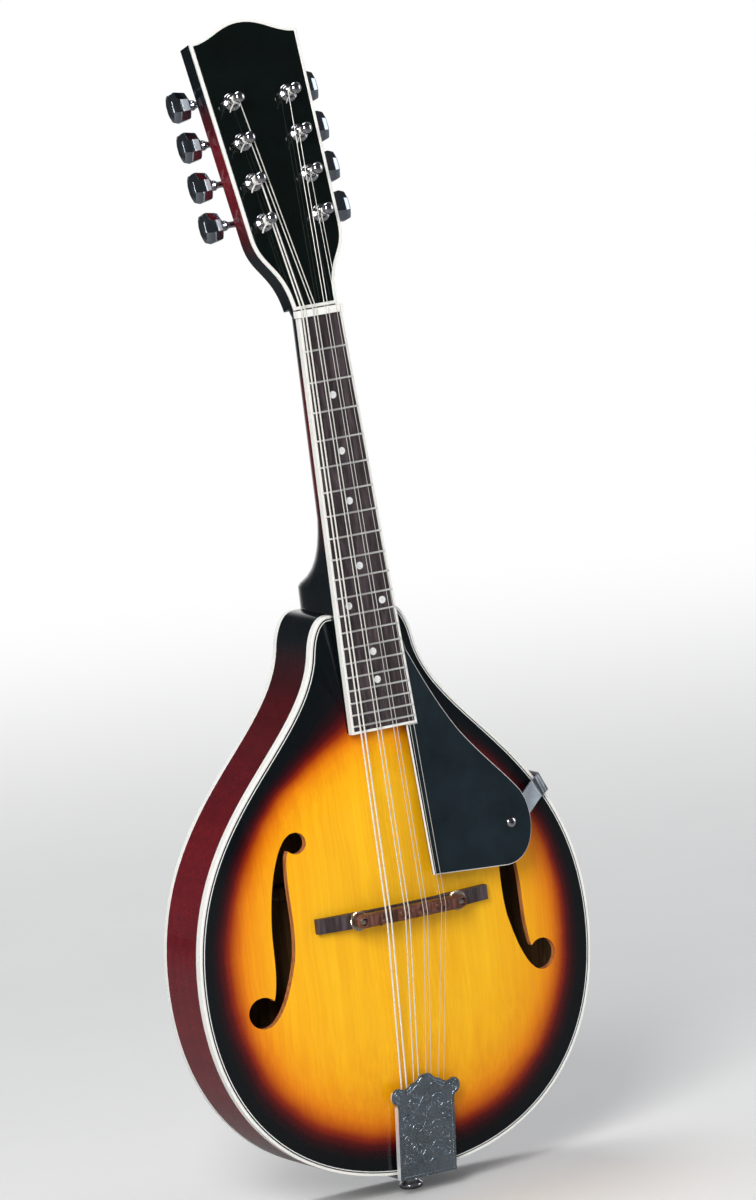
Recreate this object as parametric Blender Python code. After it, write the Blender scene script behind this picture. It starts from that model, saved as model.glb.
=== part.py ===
"""An A-style mandolin with an arched f-hole top, open-gear tuners, a height-adjustable
bridge and a hooded tailpiece. It stands upright: +X is the treble side, +Y the back
and +Z points to the headstock. Sizes are in millimetres and become metres in the mesh.
"""
import math

import bmesh
import bpy
from mathutils import Matrix, Vector

MM = 0.001

# Scale and fretboard
SCALE_LENGTH = 352.4
BODY_JOIN_FRET = 12
FRET_COUNT = 20
BOARD_LENGTH = 246.0
BOARD_THICKNESS = 5.0
BOARD_WIDTH_AT_NUT = 28.6
BOARD_WIDTH_AT_END = 43.6
BOARD_BINDING = 1.5
FRET_HEIGHT = 1.0
FRET_WIDTH = 2.2

# Body
BODY_LENGTH = 338.6
BODY_WIDTH = 262.0
BODY_DEPTH = 47.5
WIDEST_DOWN = 207.0
SHOULDER_WIDTH = 68.8
SHOULDER_DOWN = 20.4
NECK_END_WIDTH = 41.0
ARCH_HEIGHT = 13.0
ARCH_SPINE_FROM = 110.0
ARCH_SPINE_TO = 235.0
ARCH_RINGS = (0.08, 0.3, 0.5, 0.7, 0.87, 1.0)
TOP_EDGE_THICKNESS = 4.0
TOP_CENTRE_THICKNESS = 4.8
BACK_THICKNESS = 3.0
RIM_THICKNESS = 2.2
LINING_WIDTH = 6.5
LINING_HEIGHT = 8.0
BINDING_THICKNESS = 1.7
TOP_BINDING_HEIGHT = 5.7
BACK_BINDING_HEIGHT = 4.2
BRACE_WIDTH = 9.0
BRACE_HEIGHT = 10.0
BRACE_PLACES = (90.0, 165.0, 245.0)
TONE_BAR_WIDTH = 6.0
TONE_BAR_HEIGHT = 11.0
TONE_BAR_FROM = 92.0
TONE_BAR_END_FROM_TAIL = 63.6
TONE_BAR_SPREAD_TOP = 46.0
TONE_BAR_SPREAD_TAIL = 78.0
NECK_BLOCK_LENGTH = 42.0
TAIL_BLOCK_LENGTH = 26.0
TAIL_BLOCK_WIDTH = 64.0

# Sound holes, on the treble side; the bass side mirrors them
UPPER_EYE = (62.5, 127.8)
UPPER_EYE_RADIUS = 6.4
LOWER_EYE = (94.2, 224.1)
LOWER_EYE_RADIUS = 9.4
STEM_WAIST_DOWN = 184.0
STEM_OUTER_X = 84.0
STEM_INNER_X = 70.6

# Neck and headstock
NECK_ANGLE = math.radians(4.8)
BOARD_RISE_AT_JOIN = 11.5
NECK_DEPTH_AT_NUT = 14.5
NECK_DEPTH_AT_HEEL = 17.0
NECK_SIDE_INSET = 0.4
HEEL_LENGTH = 42.0
HEEL_CAP_LENGTH = 15.5
HEAD_ANGLE = math.radians(13.6)
HEAD_DROP = 3.6
HEAD_LENGTH = 178.2
HEAD_CORNER_UP = 168.0
HEAD_TOP_WIDTH = 71.4
HEAD_SHOULDER_WIDTH = 60.6
HEAD_SHOULDER_UP = 50.0
HEAD_THICKNESS = 11.5
OVERLAY_THICKNESS = 2.0
HEAD_BINDING = 1.7
NUT_LENGTH = 4.2
NUT_WIDTH = 30.0
NUT_TOP = 2.0
NUT_SLOT_FLOOR = 1.25

# Tuners
POST_SPREAD = 37.6
FIRST_POST_UP = 55.1
POST_PITCH = 24.8
POSTS_PER_SIDE = 4
POST_RADIUS = 2.9
POST_WAIST_RADIUS = 1.9
POST_TOP = 13.0
POST_CAP_FLOOR = 8.6
POST_WAIST_FLOOR = 3.0
STRING_HOLE_RADIUS = 0.95
STRING_HOLE_HEIGHT = 7.4
FERRULE_FLANGE_RADIUS = 5.5
FERRULE_RADIUS = 4.1
FERRULE_HEIGHT = 2.2
FERRULE_DEPTH = 5.0
PLATE_THICKNESS = 1.1
PLATE_WIDTH = 12.0
GEAR_TEETH = 14
THREAD_PITCH = 1.75
GEAR_THICKNESS = 2.8
TOOTH_SHARE = 0.36
TOOTH_ADDENDUM = 0.5
TOOTH_DEDENDUM = 0.66
WORM_RADIUS = 2.3
WORM_TURNS = 3
WORM_STANDOFF = 1.2
WORM_STEPS = 8
ROUND_STEPS = 8
EAR_THICKNESS = 1.3
EAR_WIDTH = 5.6
SHAFT_RADIUS = 1.6
BASS_BUTTON_FROM_CENTRE = 43.2
TREBLE_BUTTON_FROM_CENTRE = 41.0
BUTTON_LENGTH = 14.4
BUTTON_WIDTH = 19.2
BUTTON_THICKNESS = 10.0

# Bridge
BRIDGE_DOWN = 178.6
BRIDGE_BASE_LENGTH = 115.0
BRIDGE_BASE_WIDTH = 9.0
BRIDGE_BASE_TOP = 17.4
BRIDGE_BASE_END_TOP = 13.4
BRIDGE_RELIEF = 1.2
SADDLE_LENGTH = 73.0
SADDLE_WIDTH = 8.0
SADDLE_CREST_WIDTH = 2.6
STUD_SPREAD = 66.0
STUD_RADIUS = 1.95
STUD_ENGAGEMENT = 5.0
WHEEL_RADIUS = 6.0
WHEEL_THICKNESS = 1.8
WHEEL_KNURLS = 12
WHEEL_DOWN_TRAVEL = 0.8
STRING_HEIGHT_AT_BRIDGE = 3.3

# Pickguard
GUARD_THICKNESS = 2.4
GUARD_DROP = 1.8
GUARD_SCREW = (74.2, 139.3)
SCREW_HEAD_RADIUS = 3.1
SCREW_HEAD_HEIGHT = 1.5
SCREW_SHANK_RADIUS = 1.4
BRACKET_WIDTH = 12.0
BRACKET_THICKNESS = 1.2
BRACKET_DIRECTION = math.radians(-25.5)
BRACKET_SIDE_LEG = 17.0

# Tailpiece
BASE_WIDTH = 34.0
BASE_LENGTH = 35.6
BASE_SHEET = 1.5
BASE_END_LEG = 34.0
HOOK_FROM_TAIL = 27.6
HOOK_WIDTH = 2.2
HOOK_SHEET = 1.4
HOOK_HEIGHT = 3.8
COVER_SHEET = 1.0
COVER_HALF_WIDTH = 19.0
COVER_SIDE_LENGTH = 46.0
COVER_PEAK_LENGTH = 64.0
COVER_FLANGE = 3.2
COVER_END_RISE = 6.0
COVER_SLOPE = math.radians(8.9)
END_PIN_RADIUS = 4.0
END_PIN_HEAD_RADIUS = 7.2
END_PIN_LENGTH = 10.5
END_PIN_DEPTH = 14.0
END_PIN_DOWN = 17.5

# Strings: gauge, place across the nut, the bridge and the tailpiece
STRING_GAUGES = (1.0, 1.0, 0.66, 0.66, 0.42, 0.42, 0.3, 0.3)
STRINGS_AT_NUT = (-12.6, -10.3, -5.0, -2.9, 2.9, 5.0, 10.3, 12.6)
STRINGS_AT_BRIDGE = (-20.0, -17.2, -7.4, -4.8, 4.8, 7.4, 17.2, 20.0)
HOOK_SPACING = 3.7
WINDING_GAP = 0.5
WINDING_LIFT = 0.15
WINDING_TURNS = 2
POINTS_PER_TURN = 8
TAIL_LENGTH = 2.6

# Clearances
GLUE_LINE = 0.25
RUNNING_FIT = 0.1
PRESS_FIT = 0.15
LOOSE_FIT = 0.3

# The hanger holds the neck just under the headstock's flare
HANGER_UP = 10.0

JOIN_FROM_NUT = SCALE_LENGTH * (1.0 - 2.0 ** (-BODY_JOIN_FRET / 12.0))
HOOK_DOWN = BODY_LENGTH - HOOK_FROM_TAIL
TONE_BAR_TO = BODY_LENGTH - TONE_BAR_END_FROM_TAIL
GEAR_PITCH_RADIUS = GEAR_TEETH * THREAD_PITCH / math.tau
WORM_OFFSET = GEAR_PITCH_RADIUS + WORM_RADIUS
HEAD_BACK = -(OVERLAY_THICKNESS + GLUE_LINE + HEAD_THICKNESS)
PLATE_BACK = HEAD_BACK - GLUE_LINE - PLATE_THICKNESS
GEAR_LEVEL = PLATE_BACK - WORM_STANDOFF - WORM_RADIUS - TOOTH_ADDENDUM
GUARD_TOP = -GUARD_DROP
RIM_INSET = BINDING_THICKNESS + GLUE_LINE

# Colours: linear RGB, roughness, metallic
FINISHES = {
    "spruce_sunburst": ((0.80, 0.33, 0.03), 0.25, 0.0),
    "maroon_wood": ((0.11, 0.006, 0.008), 0.25, 0.0),
    "inner_wood": ((0.45, 0.28, 0.14), 0.7, 0.0),
    "ivory_plastic": ((0.86, 0.84, 0.78), 0.35, 0.0),
    "black_lacquer": ((0.008, 0.012, 0.011), 0.15, 0.0),
    "rosewood": ((0.07, 0.035, 0.022), 0.5, 0.0),
    "chrome": ((0.72, 0.72, 0.74), 0.12, 1.0),
    "guard_plastic": ((0.012, 0.022, 0.028), 0.15, 0.0),
    "string_steel": ((0.6, 0.58, 0.54), 0.25, 1.0),
    "plated_steel": ((0.5, 0.47, 0.42), 0.3, 1.0),
    "satin_metal": ((0.27, 0.3, 0.35), 0.45, 1.0),
}


def bezier(start, first, second, end, steps):
    """Points on a cubic curve, without the last one."""
    found = []
    for step in range(steps):
        t = step / steps
        u = 1.0 - t
        weights = (u * u * u, 3 * u * u * t, 3 * u * t * t, t * t * t)
        found.append(tuple(
            sum(w * p[axis] for w, p in zip(weights, (start, first, second, end)))
            for axis in range(2)))
    return found


def circle(centre, radius, count, start=0.0):
    return [(centre[0] + radius * math.cos(start + math.tau * k / count),
             centre[1] + radius * math.sin(start + math.tau * k / count))
            for k in range(count)]


def mirrored(half):
    """A closed outline from its treble half, which runs from the top centre to the tail."""
    return half + [(-x, y) for x, y in reversed(half) if abs(x) > 1e-6]


def inset(outline, distance):
    """The clockwise outline moved inward by a distance, with mitred corners."""
    moved = []
    count = len(outline)
    for k in range(count):
        here = Vector(outline[k])
        before = (here - Vector(outline[k - 1])).normalized()
        after = (Vector(outline[(k + 1) % count]) - here).normalized()
        first = Vector((before.y, -before.x))
        second = Vector((after.y, -after.x))
        step = (first + second) * (distance / (1.0 + first.dot(second)))
        moved.append((here.x + step.x, here.y + step.y))
    return moved


def body_outline():
    """The body seen from the front, clockwise, as (x, up) with up = 0 at the neck joint."""
    end = NECK_END_WIDTH / 2.0
    shoulder = SHOULDER_WIDTH / 2.0
    wide = BODY_WIDTH / 2.0
    heading = math.radians(8.6)
    neck_pull = 55.0
    half = [(0.0, 0.0)]
    half += bezier((end, 0.0), (end + 8.5, 0.0), (shoulder - 1.2, -SHOULDER_DOWN + 8.0),
                   (shoulder, -SHOULDER_DOWN), 4)
    half += bezier((shoulder, -SHOULDER_DOWN),
                   (shoulder + neck_pull * math.sin(heading),
                    -SHOULDER_DOWN - neck_pull * math.cos(heading)),
                   (wide, -WIDEST_DOWN + wide * 0.8), (wide, -WIDEST_DOWN), 11)
    half += bezier((wide, -WIDEST_DOWN), (wide, -WIDEST_DOWN - (BODY_LENGTH - WIDEST_DOWN) * 0.615),
                   (wide * 0.615, -BODY_LENGTH), (0.0, -BODY_LENGTH), 11)
    half.append((0.0, -BODY_LENGTH))
    return mirrored(half)


OUTLINE = body_outline()


def edge_share(x, up):
    """How far a point lies from the arch's spine, as a share of the way to the edge."""
    spine = Vector((0.0, min(max(up, -ARCH_SPINE_TO), -ARCH_SPINE_FROM)))
    reach = Vector((abs(x), up)) - spine
    if reach.length < 1e-6:
        return 0.0
    nearest = 1e9
    for here, there in zip(OUTLINE, OUTLINE[1:]):
        start = Vector(here) - spine
        side = Vector(there) - Vector(here)
        slope = reach.x * side.y - reach.y * side.x
        if abs(slope) < 1e-9:
            continue
        along = (start.x * side.y - start.y * side.x) / slope
        across = (start.x * reach.y - start.y * reach.x) / slope
        if along > 0.0 and -1e-6 <= across <= 1.000001:
            nearest = min(nearest, along)
    return min(1.0, 1.0 / nearest)


def arch(x, up):
    """Share of the full arch height, straight between the rings that the plate is made of."""
    share = edge_share(x, up)
    if share <= ARCH_RINGS[0]:
        return (1.0 - ARCH_RINGS[0] ** 2) ** 1.5
    for low, high in zip(ARCH_RINGS, ARCH_RINGS[1:]):
        if share <= high:
            first = (1.0 - low ** 2) ** 1.5
            second = (1.0 - high ** 2) ** 1.5
            return first + (second - first) * (share - low) / (high - low)
    return 0.0


def top_surface(x, up):
    """Height of the soundboard's outer face over the plane of its edge."""
    return ARCH_HEIGHT * arch(x, up)


def under_surface(x, up):
    """Height of the soundboard's inner face."""
    inner_arch = ARCH_HEIGHT - (TOP_CENTRE_THICKNESS - TOP_EDGE_THICKNESS)
    return inner_arch * arch(x, up) - TOP_EDGE_THICKNESS


def place(point):
    """(x, out, up) in millimetres to Blender's axes in metres."""
    return Vector((point[0], -point[1], point[2])) * MM


def frame(name, parent, at, tilt=0.0):
    """An empty that carries a group of pieces; a tilt leans its top to the back."""
    empty = bpy.data.objects.new(name, None)
    bpy.context.collection.objects.link(empty)
    empty.parent = parent
    empty.location = place(at)
    empty.rotation_euler = (-tilt, 0.0, 0.0)
    return empty


def finish_of(name):
    found = bpy.data.materials.get(name)
    if found is None:
        colour, roughness, metallic = FINISHES[name]
        found = bpy.data.materials.new(name)
        found.use_nodes = True
        shader = found.node_tree.nodes["Principled BSDF"]
        shader.inputs["Base Color"].default_value = (*colour, 1.0)
        shader.inputs["Roughness"].default_value = roughness
        shader.inputs["Metallic"].default_value = metallic
    return found


def add(name, finish, parent, mesh, at=(0.0, 0.0, 0.0)):
    piece = bpy.data.objects.new(name, mesh)
    bpy.context.collection.objects.link(piece)
    piece.parent = parent
    piece.location = place(at)
    if not mesh.materials:
        mesh.materials.append(finish_of(finish))
    return piece


def mesh_from(name, points, faces, smooth_angle=35.0):
    """A mesh from (x, out, up) points, its faces turned outward."""
    work = bmesh.new()
    corners = [work.verts.new(place(point)) for point in points]
    for face in faces:
        work.faces.new([corners[k] for k in face])
    bmesh.ops.recalc_face_normals(work, faces=work.faces)
    mesh = bpy.data.meshes.new(name)
    work.to_mesh(mesh)
    work.free()
    mesh.shade_smooth()
    mesh.set_sharp_from_angle(angle=math.radians(smooth_angle))
    return mesh


def lofted(loops, closed=False):
    """Points and faces through equal loops, capped at both ends or joined round."""
    size = len(loops[0])
    points = [point for loop in loops for point in loop]
    faces = []
    spans = len(loops) if closed else len(loops) - 1
    for row in range(spans):
        low = row * size
        high = ((row + 1) % len(loops)) * size
        for k in range(size):
            nxt = (k + 1) % size
            faces.append((low + k, low + nxt, high + nxt, high + k))
    if not closed:
        faces.append(tuple(range(size)))
        faces.append(tuple(range((len(loops) - 1) * size, len(loops) * size)))
    return points, faces


def loft(name, finish, parent, loops, closed=False, at=(0.0, 0.0, 0.0), smooth_angle=35.0):
    points, faces = lofted(loops, closed)
    return add(name, finish, parent, mesh_from(name, points, faces, smooth_angle), at)


def slab(outline, low, high):
    """Two loops of a plate seen from the front, between two heights."""
    return [[(x, low, up) for x, up in outline], [(x, high, up) for x, up in outline]]


def across(outline, left, right):
    """Two loops of a profile in (up, out), drawn out from left to right."""
    return [[(left, out, up) for up, out in outline], [(right, out, up) for up, out in outline]]


def box(low, high):
    outline = [(low[0], low[2]), (high[0], low[2]), (high[0], high[2]), (low[0], high[2])]
    return slab(outline, low[1], high[1])


def turned(profile, count, axis):
    """Loops of a turned piece from (radius, height) pairs, about the out, up or x axis."""
    loops = []
    for radius, height in profile:
        ring = circle((0.0, 0.0), radius, count)
        if axis == "out":
            loops.append([(a, height, b) for a, b in ring])
        elif axis == "up":
            loops.append([(a, b, height) for a, b in ring])
        else:
            loops.append([(height, a, b) for a, b in ring])
    return loops


def circumscribed(radius, count):
    """Corner radius of a polygon whose flats lie at the given radius."""
    return radius / math.cos(math.pi / count)


def moved(loops, shift):
    return [[tuple(p + s for p, s in zip(point, shift)) for point in loop] for loop in loops]


def guide(name, parent, groups):
    """A hidden tool body from one or more lofts, for cutting or joining."""
    points = []
    faces = []
    for loops in groups:
        more_points, more_faces = lofted(loops)
        base = len(points)
        points += more_points
        faces += [tuple(base + k for k in face) for face in more_faces]
    tool = add(name, "inner_wood", parent, mesh_from(name, points, faces))
    tool.hide_render = True
    tool.display_type = "WIRE"
    return tool


def combine(piece, tool, operation):
    """One exact Boolean of the piece with a hidden tool."""
    change = piece.modifiers.new(tool.name, "BOOLEAN")
    change.operation = operation
    change.solver = "EXACT"
    change.object = tool
    return piece


def cut(piece, name, parent, groups):
    return combine(piece, guide(name, parent, groups), "DIFFERENCE")


def join(piece, name, parent, groups):
    """Each group is joined by itself, so that groups may cross each other."""
    for number, loops in enumerate(groups):
        combine(piece, guide(f"{name}_{number}", parent, [loops]), "UNION")
    return piece


def thick_line(path, thickness):
    """The outline of a bent sheet from the path of one face, in two dimensions."""
    other = []
    for k, here in enumerate(path):
        point = Vector(here)
        before = (point - Vector(path[k - 1])).normalized() if k else None
        after = (Vector(path[k + 1]) - point).normalized() if k + 1 < len(path) else None
        first = before or after
        second = after or before
        normal_a = Vector((first.y, -first.x))
        normal_b = Vector((second.y, -second.x))
        step = (normal_a + normal_b) * (thickness / (1.0 + normal_a.dot(normal_b)))
        other.append((point.x + step.x, point.y + step.y))
    return path + other[::-1]


def clipped(outline, keep):
    """The part of a closed outline where keep(x, up) is at or over zero."""
    found = []
    for k, here in enumerate(outline):
        there = outline[(k + 1) % len(outline)]
        a = keep(*here)
        b = keep(*there)
        if a >= 0.0:
            found.append(here)
        if (a >= 0.0) != (b >= 0.0):
            t = a / (a - b)
            found.append((here[0] + (there[0] - here[0]) * t, here[1] + (there[1] - here[1]) * t))
    return found


def board_half_width(from_nut):
    share = from_nut / BOARD_LENGTH
    return (BOARD_WIDTH_AT_NUT + (BOARD_WIDTH_AT_END - BOARD_WIDTH_AT_NUT) * share) / 2.0


def fret_place(number):
    return SCALE_LENGTH * (1.0 - 2.0 ** (-number / 12.0))


def make_frames():
    """The body, neck and headstock frames, set so that the hanger's place is the origin."""
    root = frame("instrument", None, (0.0, 0.0, 0.0))
    neck = frame("neck_frame", root, (0.0, BOARD_RISE_AT_JOIN, 0.0), NECK_ANGLE)
    head = frame("head_frame", neck,
                 (0.0, -HEAD_DROP, JOIN_FROM_NUT + NUT_LENGTH + 2.0 * GLUE_LINE), HEAD_ANGLE)
    bpy.context.view_layer.update()
    hanger = head.matrix_world @ place((0.0, HEAD_BACK / 2.0, HANGER_UP))
    root.location = -hanger
    bpy.context.view_layer.update()
    return root, neck, head


def make_soundboard(root):
    """Arched plate in rings from the spine to the edge, with two f-shaped sound holes."""
    edge = inset(OUTLINE, RIM_INSET)
    top = []
    under = []
    for share in ARCH_RINGS:
        ring = []
        for x, up in edge:
            spine = min(max(up, -ARCH_SPINE_TO), -ARCH_SPINE_FROM)
            ring.append((x * share, spine + (up - spine) * share))
        top.append([(x, top_surface(x, up), up) for x, up in ring])
        under.append([(x, under_surface(x, up), up) for x, up in ring])
    plate = loft("soundboard", "spruce_sunburst", root, top + under[::-1], smooth_angle=50.0)
    over = ARCH_HEIGHT + 2.0
    below = -TOP_EDGE_THICKNESS - 2.0
    outer_edge = bezier((UPPER_EYE[0], -UPPER_EYE[1] + UPPER_EYE_RADIUS),
                        (UPPER_EYE[0] + 11.5, -UPPER_EYE[1] + UPPER_EYE_RADIUS + 0.8),
                        (STEM_OUTER_X - 0.5, -STEM_WAIST_DOWN + 30.0),
                        (STEM_OUTER_X, -STEM_WAIST_DOWN), 8)
    outer_edge += bezier((STEM_OUTER_X, -STEM_WAIST_DOWN), (STEM_OUTER_X + 0.2, -STEM_WAIST_DOWN - 14.0),
                         (STEM_OUTER_X + 0.2, -LOWER_EYE[1] + 17.0),
                         (LOWER_EYE[0] - 7.2, -LOWER_EYE[1] + 6.1), 6)
    inner_edge = bezier((LOWER_EYE[0], -LOWER_EYE[1] - LOWER_EYE_RADIUS),
                        (LOWER_EYE[0] - 10.2, -LOWER_EYE[1] - LOWER_EYE_RADIUS),
                        (STEM_INNER_X + 6.0, -STEM_WAIST_DOWN - 31.0),
                        (STEM_INNER_X + 1.2, -STEM_WAIST_DOWN - 12.0), 7)
    inner_edge += bezier((STEM_INNER_X + 1.2, -STEM_WAIST_DOWN - 12.0),
                         (STEM_INNER_X - 3.0, -STEM_WAIST_DOWN + 10.0),
                         (STEM_INNER_X + 2.4, -STEM_WAIST_DOWN + 34.0),
                         (UPPER_EYE[0] + 5.8, -UPPER_EYE[1] - 4.0), 7)
    for side, name in ((1.0, "treble"), (-1.0, "bass")):
        stem = [(side * x, up) for x, up in outer_edge + inner_edge]
        upper = circle((side * UPPER_EYE[0], -UPPER_EYE[1]), UPPER_EYE_RADIUS, 14, 0.1)
        lower = circle((side * LOWER_EYE[0], -LOWER_EYE[1]), LOWER_EYE_RADIUS, 16, 0.1)
        for part, shape in (("stem", stem), ("upper_eye", upper), ("lower_eye", lower)):
            cut(plate, f"{name}_{part}_tool", root, [slab(shape, below, over)])


def ring_piece(name, finish, parent, outline, profile):
    """A hoop round an outline from a closed profile of (inset, height) pairs."""
    loops = [[(x, out, up) for x, up in inset(outline, depth)] for depth, out in profile]
    return loft(name, finish, parent, loops, closed=True, smooth_angle=40.0)


def make_rim(root):
    """Bent sides with their linings, rebated for both bindings, and the bindings."""
    top_seat = -TOP_EDGE_THICKNESS - GLUE_LINE
    back_seat = -BODY_DEPTH + BACK_THICKNESS + GLUE_LINE
    top_ledge = -TOP_BINDING_HEIGHT - GLUE_LINE
    back_ledge = -BODY_DEPTH + BACK_BINDING_HEIGHT + GLUE_LINE
    lined = RIM_THICKNESS + LINING_WIDTH
    wall = RIM_THICKNESS
    ring_piece("rim", "maroon_wood", root, OUTLINE, [
        (0.0, back_ledge), (RIM_INSET, back_ledge), (RIM_INSET, back_seat),
        (lined, back_seat), (lined, back_seat + LINING_HEIGHT * 0.4),
        (wall, back_seat + LINING_HEIGHT), (wall, top_seat - LINING_HEIGHT),
        (lined, top_seat - LINING_HEIGHT * 0.4), (lined, top_seat),
        (RIM_INSET, top_seat), (RIM_INSET, top_ledge), (0.0, top_ledge)])
    ring_piece("top_binding", "ivory_plastic", root, OUTLINE, [
        (0.0, -TOP_BINDING_HEIGHT), (BINDING_THICKNESS, -TOP_BINDING_HEIGHT),
        (BINDING_THICKNESS, 0.0), (0.0, 0.0)])
    ring_piece("back_binding", "ivory_plastic", root, OUTLINE, [
        (0.0, -BODY_DEPTH), (BINDING_THICKNESS, -BODY_DEPTH),
        (BINDING_THICKNESS, -BODY_DEPTH + BACK_BINDING_HEIGHT),
        (0.0, -BODY_DEPTH + BACK_BINDING_HEIGHT)])


def make_back(root):
    """Flat back with three ladder braces glued across it."""
    inner = -BODY_DEPTH + BACK_THICKNESS
    plate = loft("back", "maroon_wood", root,
                 slab(inset(OUTLINE, RIM_INSET), -BODY_DEPTH, inner))
    lining = RIM_THICKNESS + LINING_WIDTH + LOOSE_FIT
    inside = inset(OUTLINE, lining)
    braces = []
    for down in BRACE_PLACES:
        half = BRACE_WIDTH / 2.0
        band = clipped(inside, lambda x, up: half - up - down)
        band = clipped(band, lambda x, up: half + up + down)
        reach = min(x for x, up in band if x > 0.0)
        profile = [(-down - half, inner - 0.5), (-down + half, inner - 0.5),
                   (-down + half, inner + BRACE_HEIGHT * 0.6), (-down, inner + BRACE_HEIGHT),
                   (-down - half, inner + BRACE_HEIGHT * 0.6)]
        braces.append(across(profile, -reach, reach))
    join(plate, "back_brace_tool", root, braces)


def make_inner_wood(root):
    """Neck block, tail block and two tone bars under the top."""
    lining = RIM_THICKNESS + LINING_WIDTH + LOOSE_FIT
    inside = inset(OUTLINE, lining)
    floor = -BODY_DEPTH + BACK_THICKNESS + GLUE_LINE
    neck_end = clipped(inside, lambda x, up: up + NECK_BLOCK_LENGTH + lining)
    tail_end = clipped(inside, lambda x, up: -up - (BODY_LENGTH - lining - TAIL_BLOCK_LENGTH))
    tail_end = clipped(tail_end, lambda x, up: TAIL_BLOCK_WIDTH / 2.0 - x)
    tail_end = clipped(tail_end, lambda x, up: TAIL_BLOCK_WIDTH / 2.0 + x)
    for name, outline in (("neck_block", neck_end), ("tail_block", tail_end)):
        loops = [[(x, floor, up) for x, up in outline],
                 [(x, under_surface(x, up) - GLUE_LINE, up) for x, up in outline]]
        loft(name, "inner_wood", root, loops)
    steps = 9
    for side, name in ((-1.0, "bass_tone_bar"), (1.0, "treble_tone_bar")):
        loops = []
        for step in range(steps):
            t = step / (steps - 1)
            up = -(TONE_BAR_FROM + (TONE_BAR_TO - TONE_BAR_FROM) * t)
            spread = TONE_BAR_SPREAD_TOP + (TONE_BAR_SPREAD_TAIL - TONE_BAR_SPREAD_TOP) * t
            left = side * spread / 2.0 - TONE_BAR_WIDTH / 2.0
            right = left + TONE_BAR_WIDTH
            height = 1.5 + (TONE_BAR_HEIGHT - 1.5) * math.sin(math.pi * t) ** 0.7
            roof_left = under_surface(left, up) - LOOSE_FIT
            roof_right = under_surface(right, up) - LOOSE_FIT
            floor_out = min(roof_left, roof_right) - height
            loops.append([(left, floor_out, up), (right, floor_out, up),
                          (right, roof_right, up), (left, roof_left, up)])
        loft(name, "inner_wood", root, loops)


def head_outline():
    """Headstock seen from its face, clockwise, as (x, up) from the nut."""
    foot = NUT_WIDTH / 2.0 - 0.6
    shoulder = HEAD_SHOULDER_WIDTH / 2.0
    corner = HEAD_TOP_WIDTH / 2.0
    half = [(0.0, HEAD_LENGTH)]
    half += bezier((0.0, HEAD_LENGTH), (corner * 0.42, HEAD_LENGTH),
                   (corner * 0.62, HEAD_CORNER_UP + 0.5), (corner, HEAD_CORNER_UP), 8)[1:]
    half += [(corner, HEAD_CORNER_UP)]
    half += bezier((shoulder, HEAD_SHOULDER_UP), (shoulder - 0.3, HEAD_SHOULDER_UP - 12.0),
                   (shoulder - 3.5, HEAD_SHOULDER_UP - 16.0), (22.0, 26.5), 5)
    half += bezier((22.0, 26.5), (18.0, 20.0), (foot + 0.6, 14.0), (foot, 0.5), 5)
    half += [(foot, 0.5)]
    return half + [(-x, up) for x, up in reversed(half) if abs(x) > 1e-6]


def post_places():
    """Post number to its side and its place on the headstock, bass side from the nut up."""
    places = []
    for row in range(POSTS_PER_SIDE):
        places.append((-1.0, -POST_SPREAD / 2.0, FIRST_POST_UP + row * POST_PITCH))
    for row in reversed(range(POSTS_PER_SIDE)):
        places.append((1.0, POST_SPREAD / 2.0, FIRST_POST_UP + row * POST_PITCH))
    return places


def section(half, top, depth, squareness, middle=0.0):
    """A neck section: flat on top, rounded below, as (x, out) from treble to bass."""
    count = 12
    found = []
    for k in range(count + 1):
        angle = math.pi * k / count
        cos = math.cos(angle)
        x = half * math.copysign(abs(cos) ** squareness, cos)
        drop = depth * math.sin(angle) ** squareness if 0 < k < count else 0.0
        found.append((x + middle, top - drop))
    return found


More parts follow.
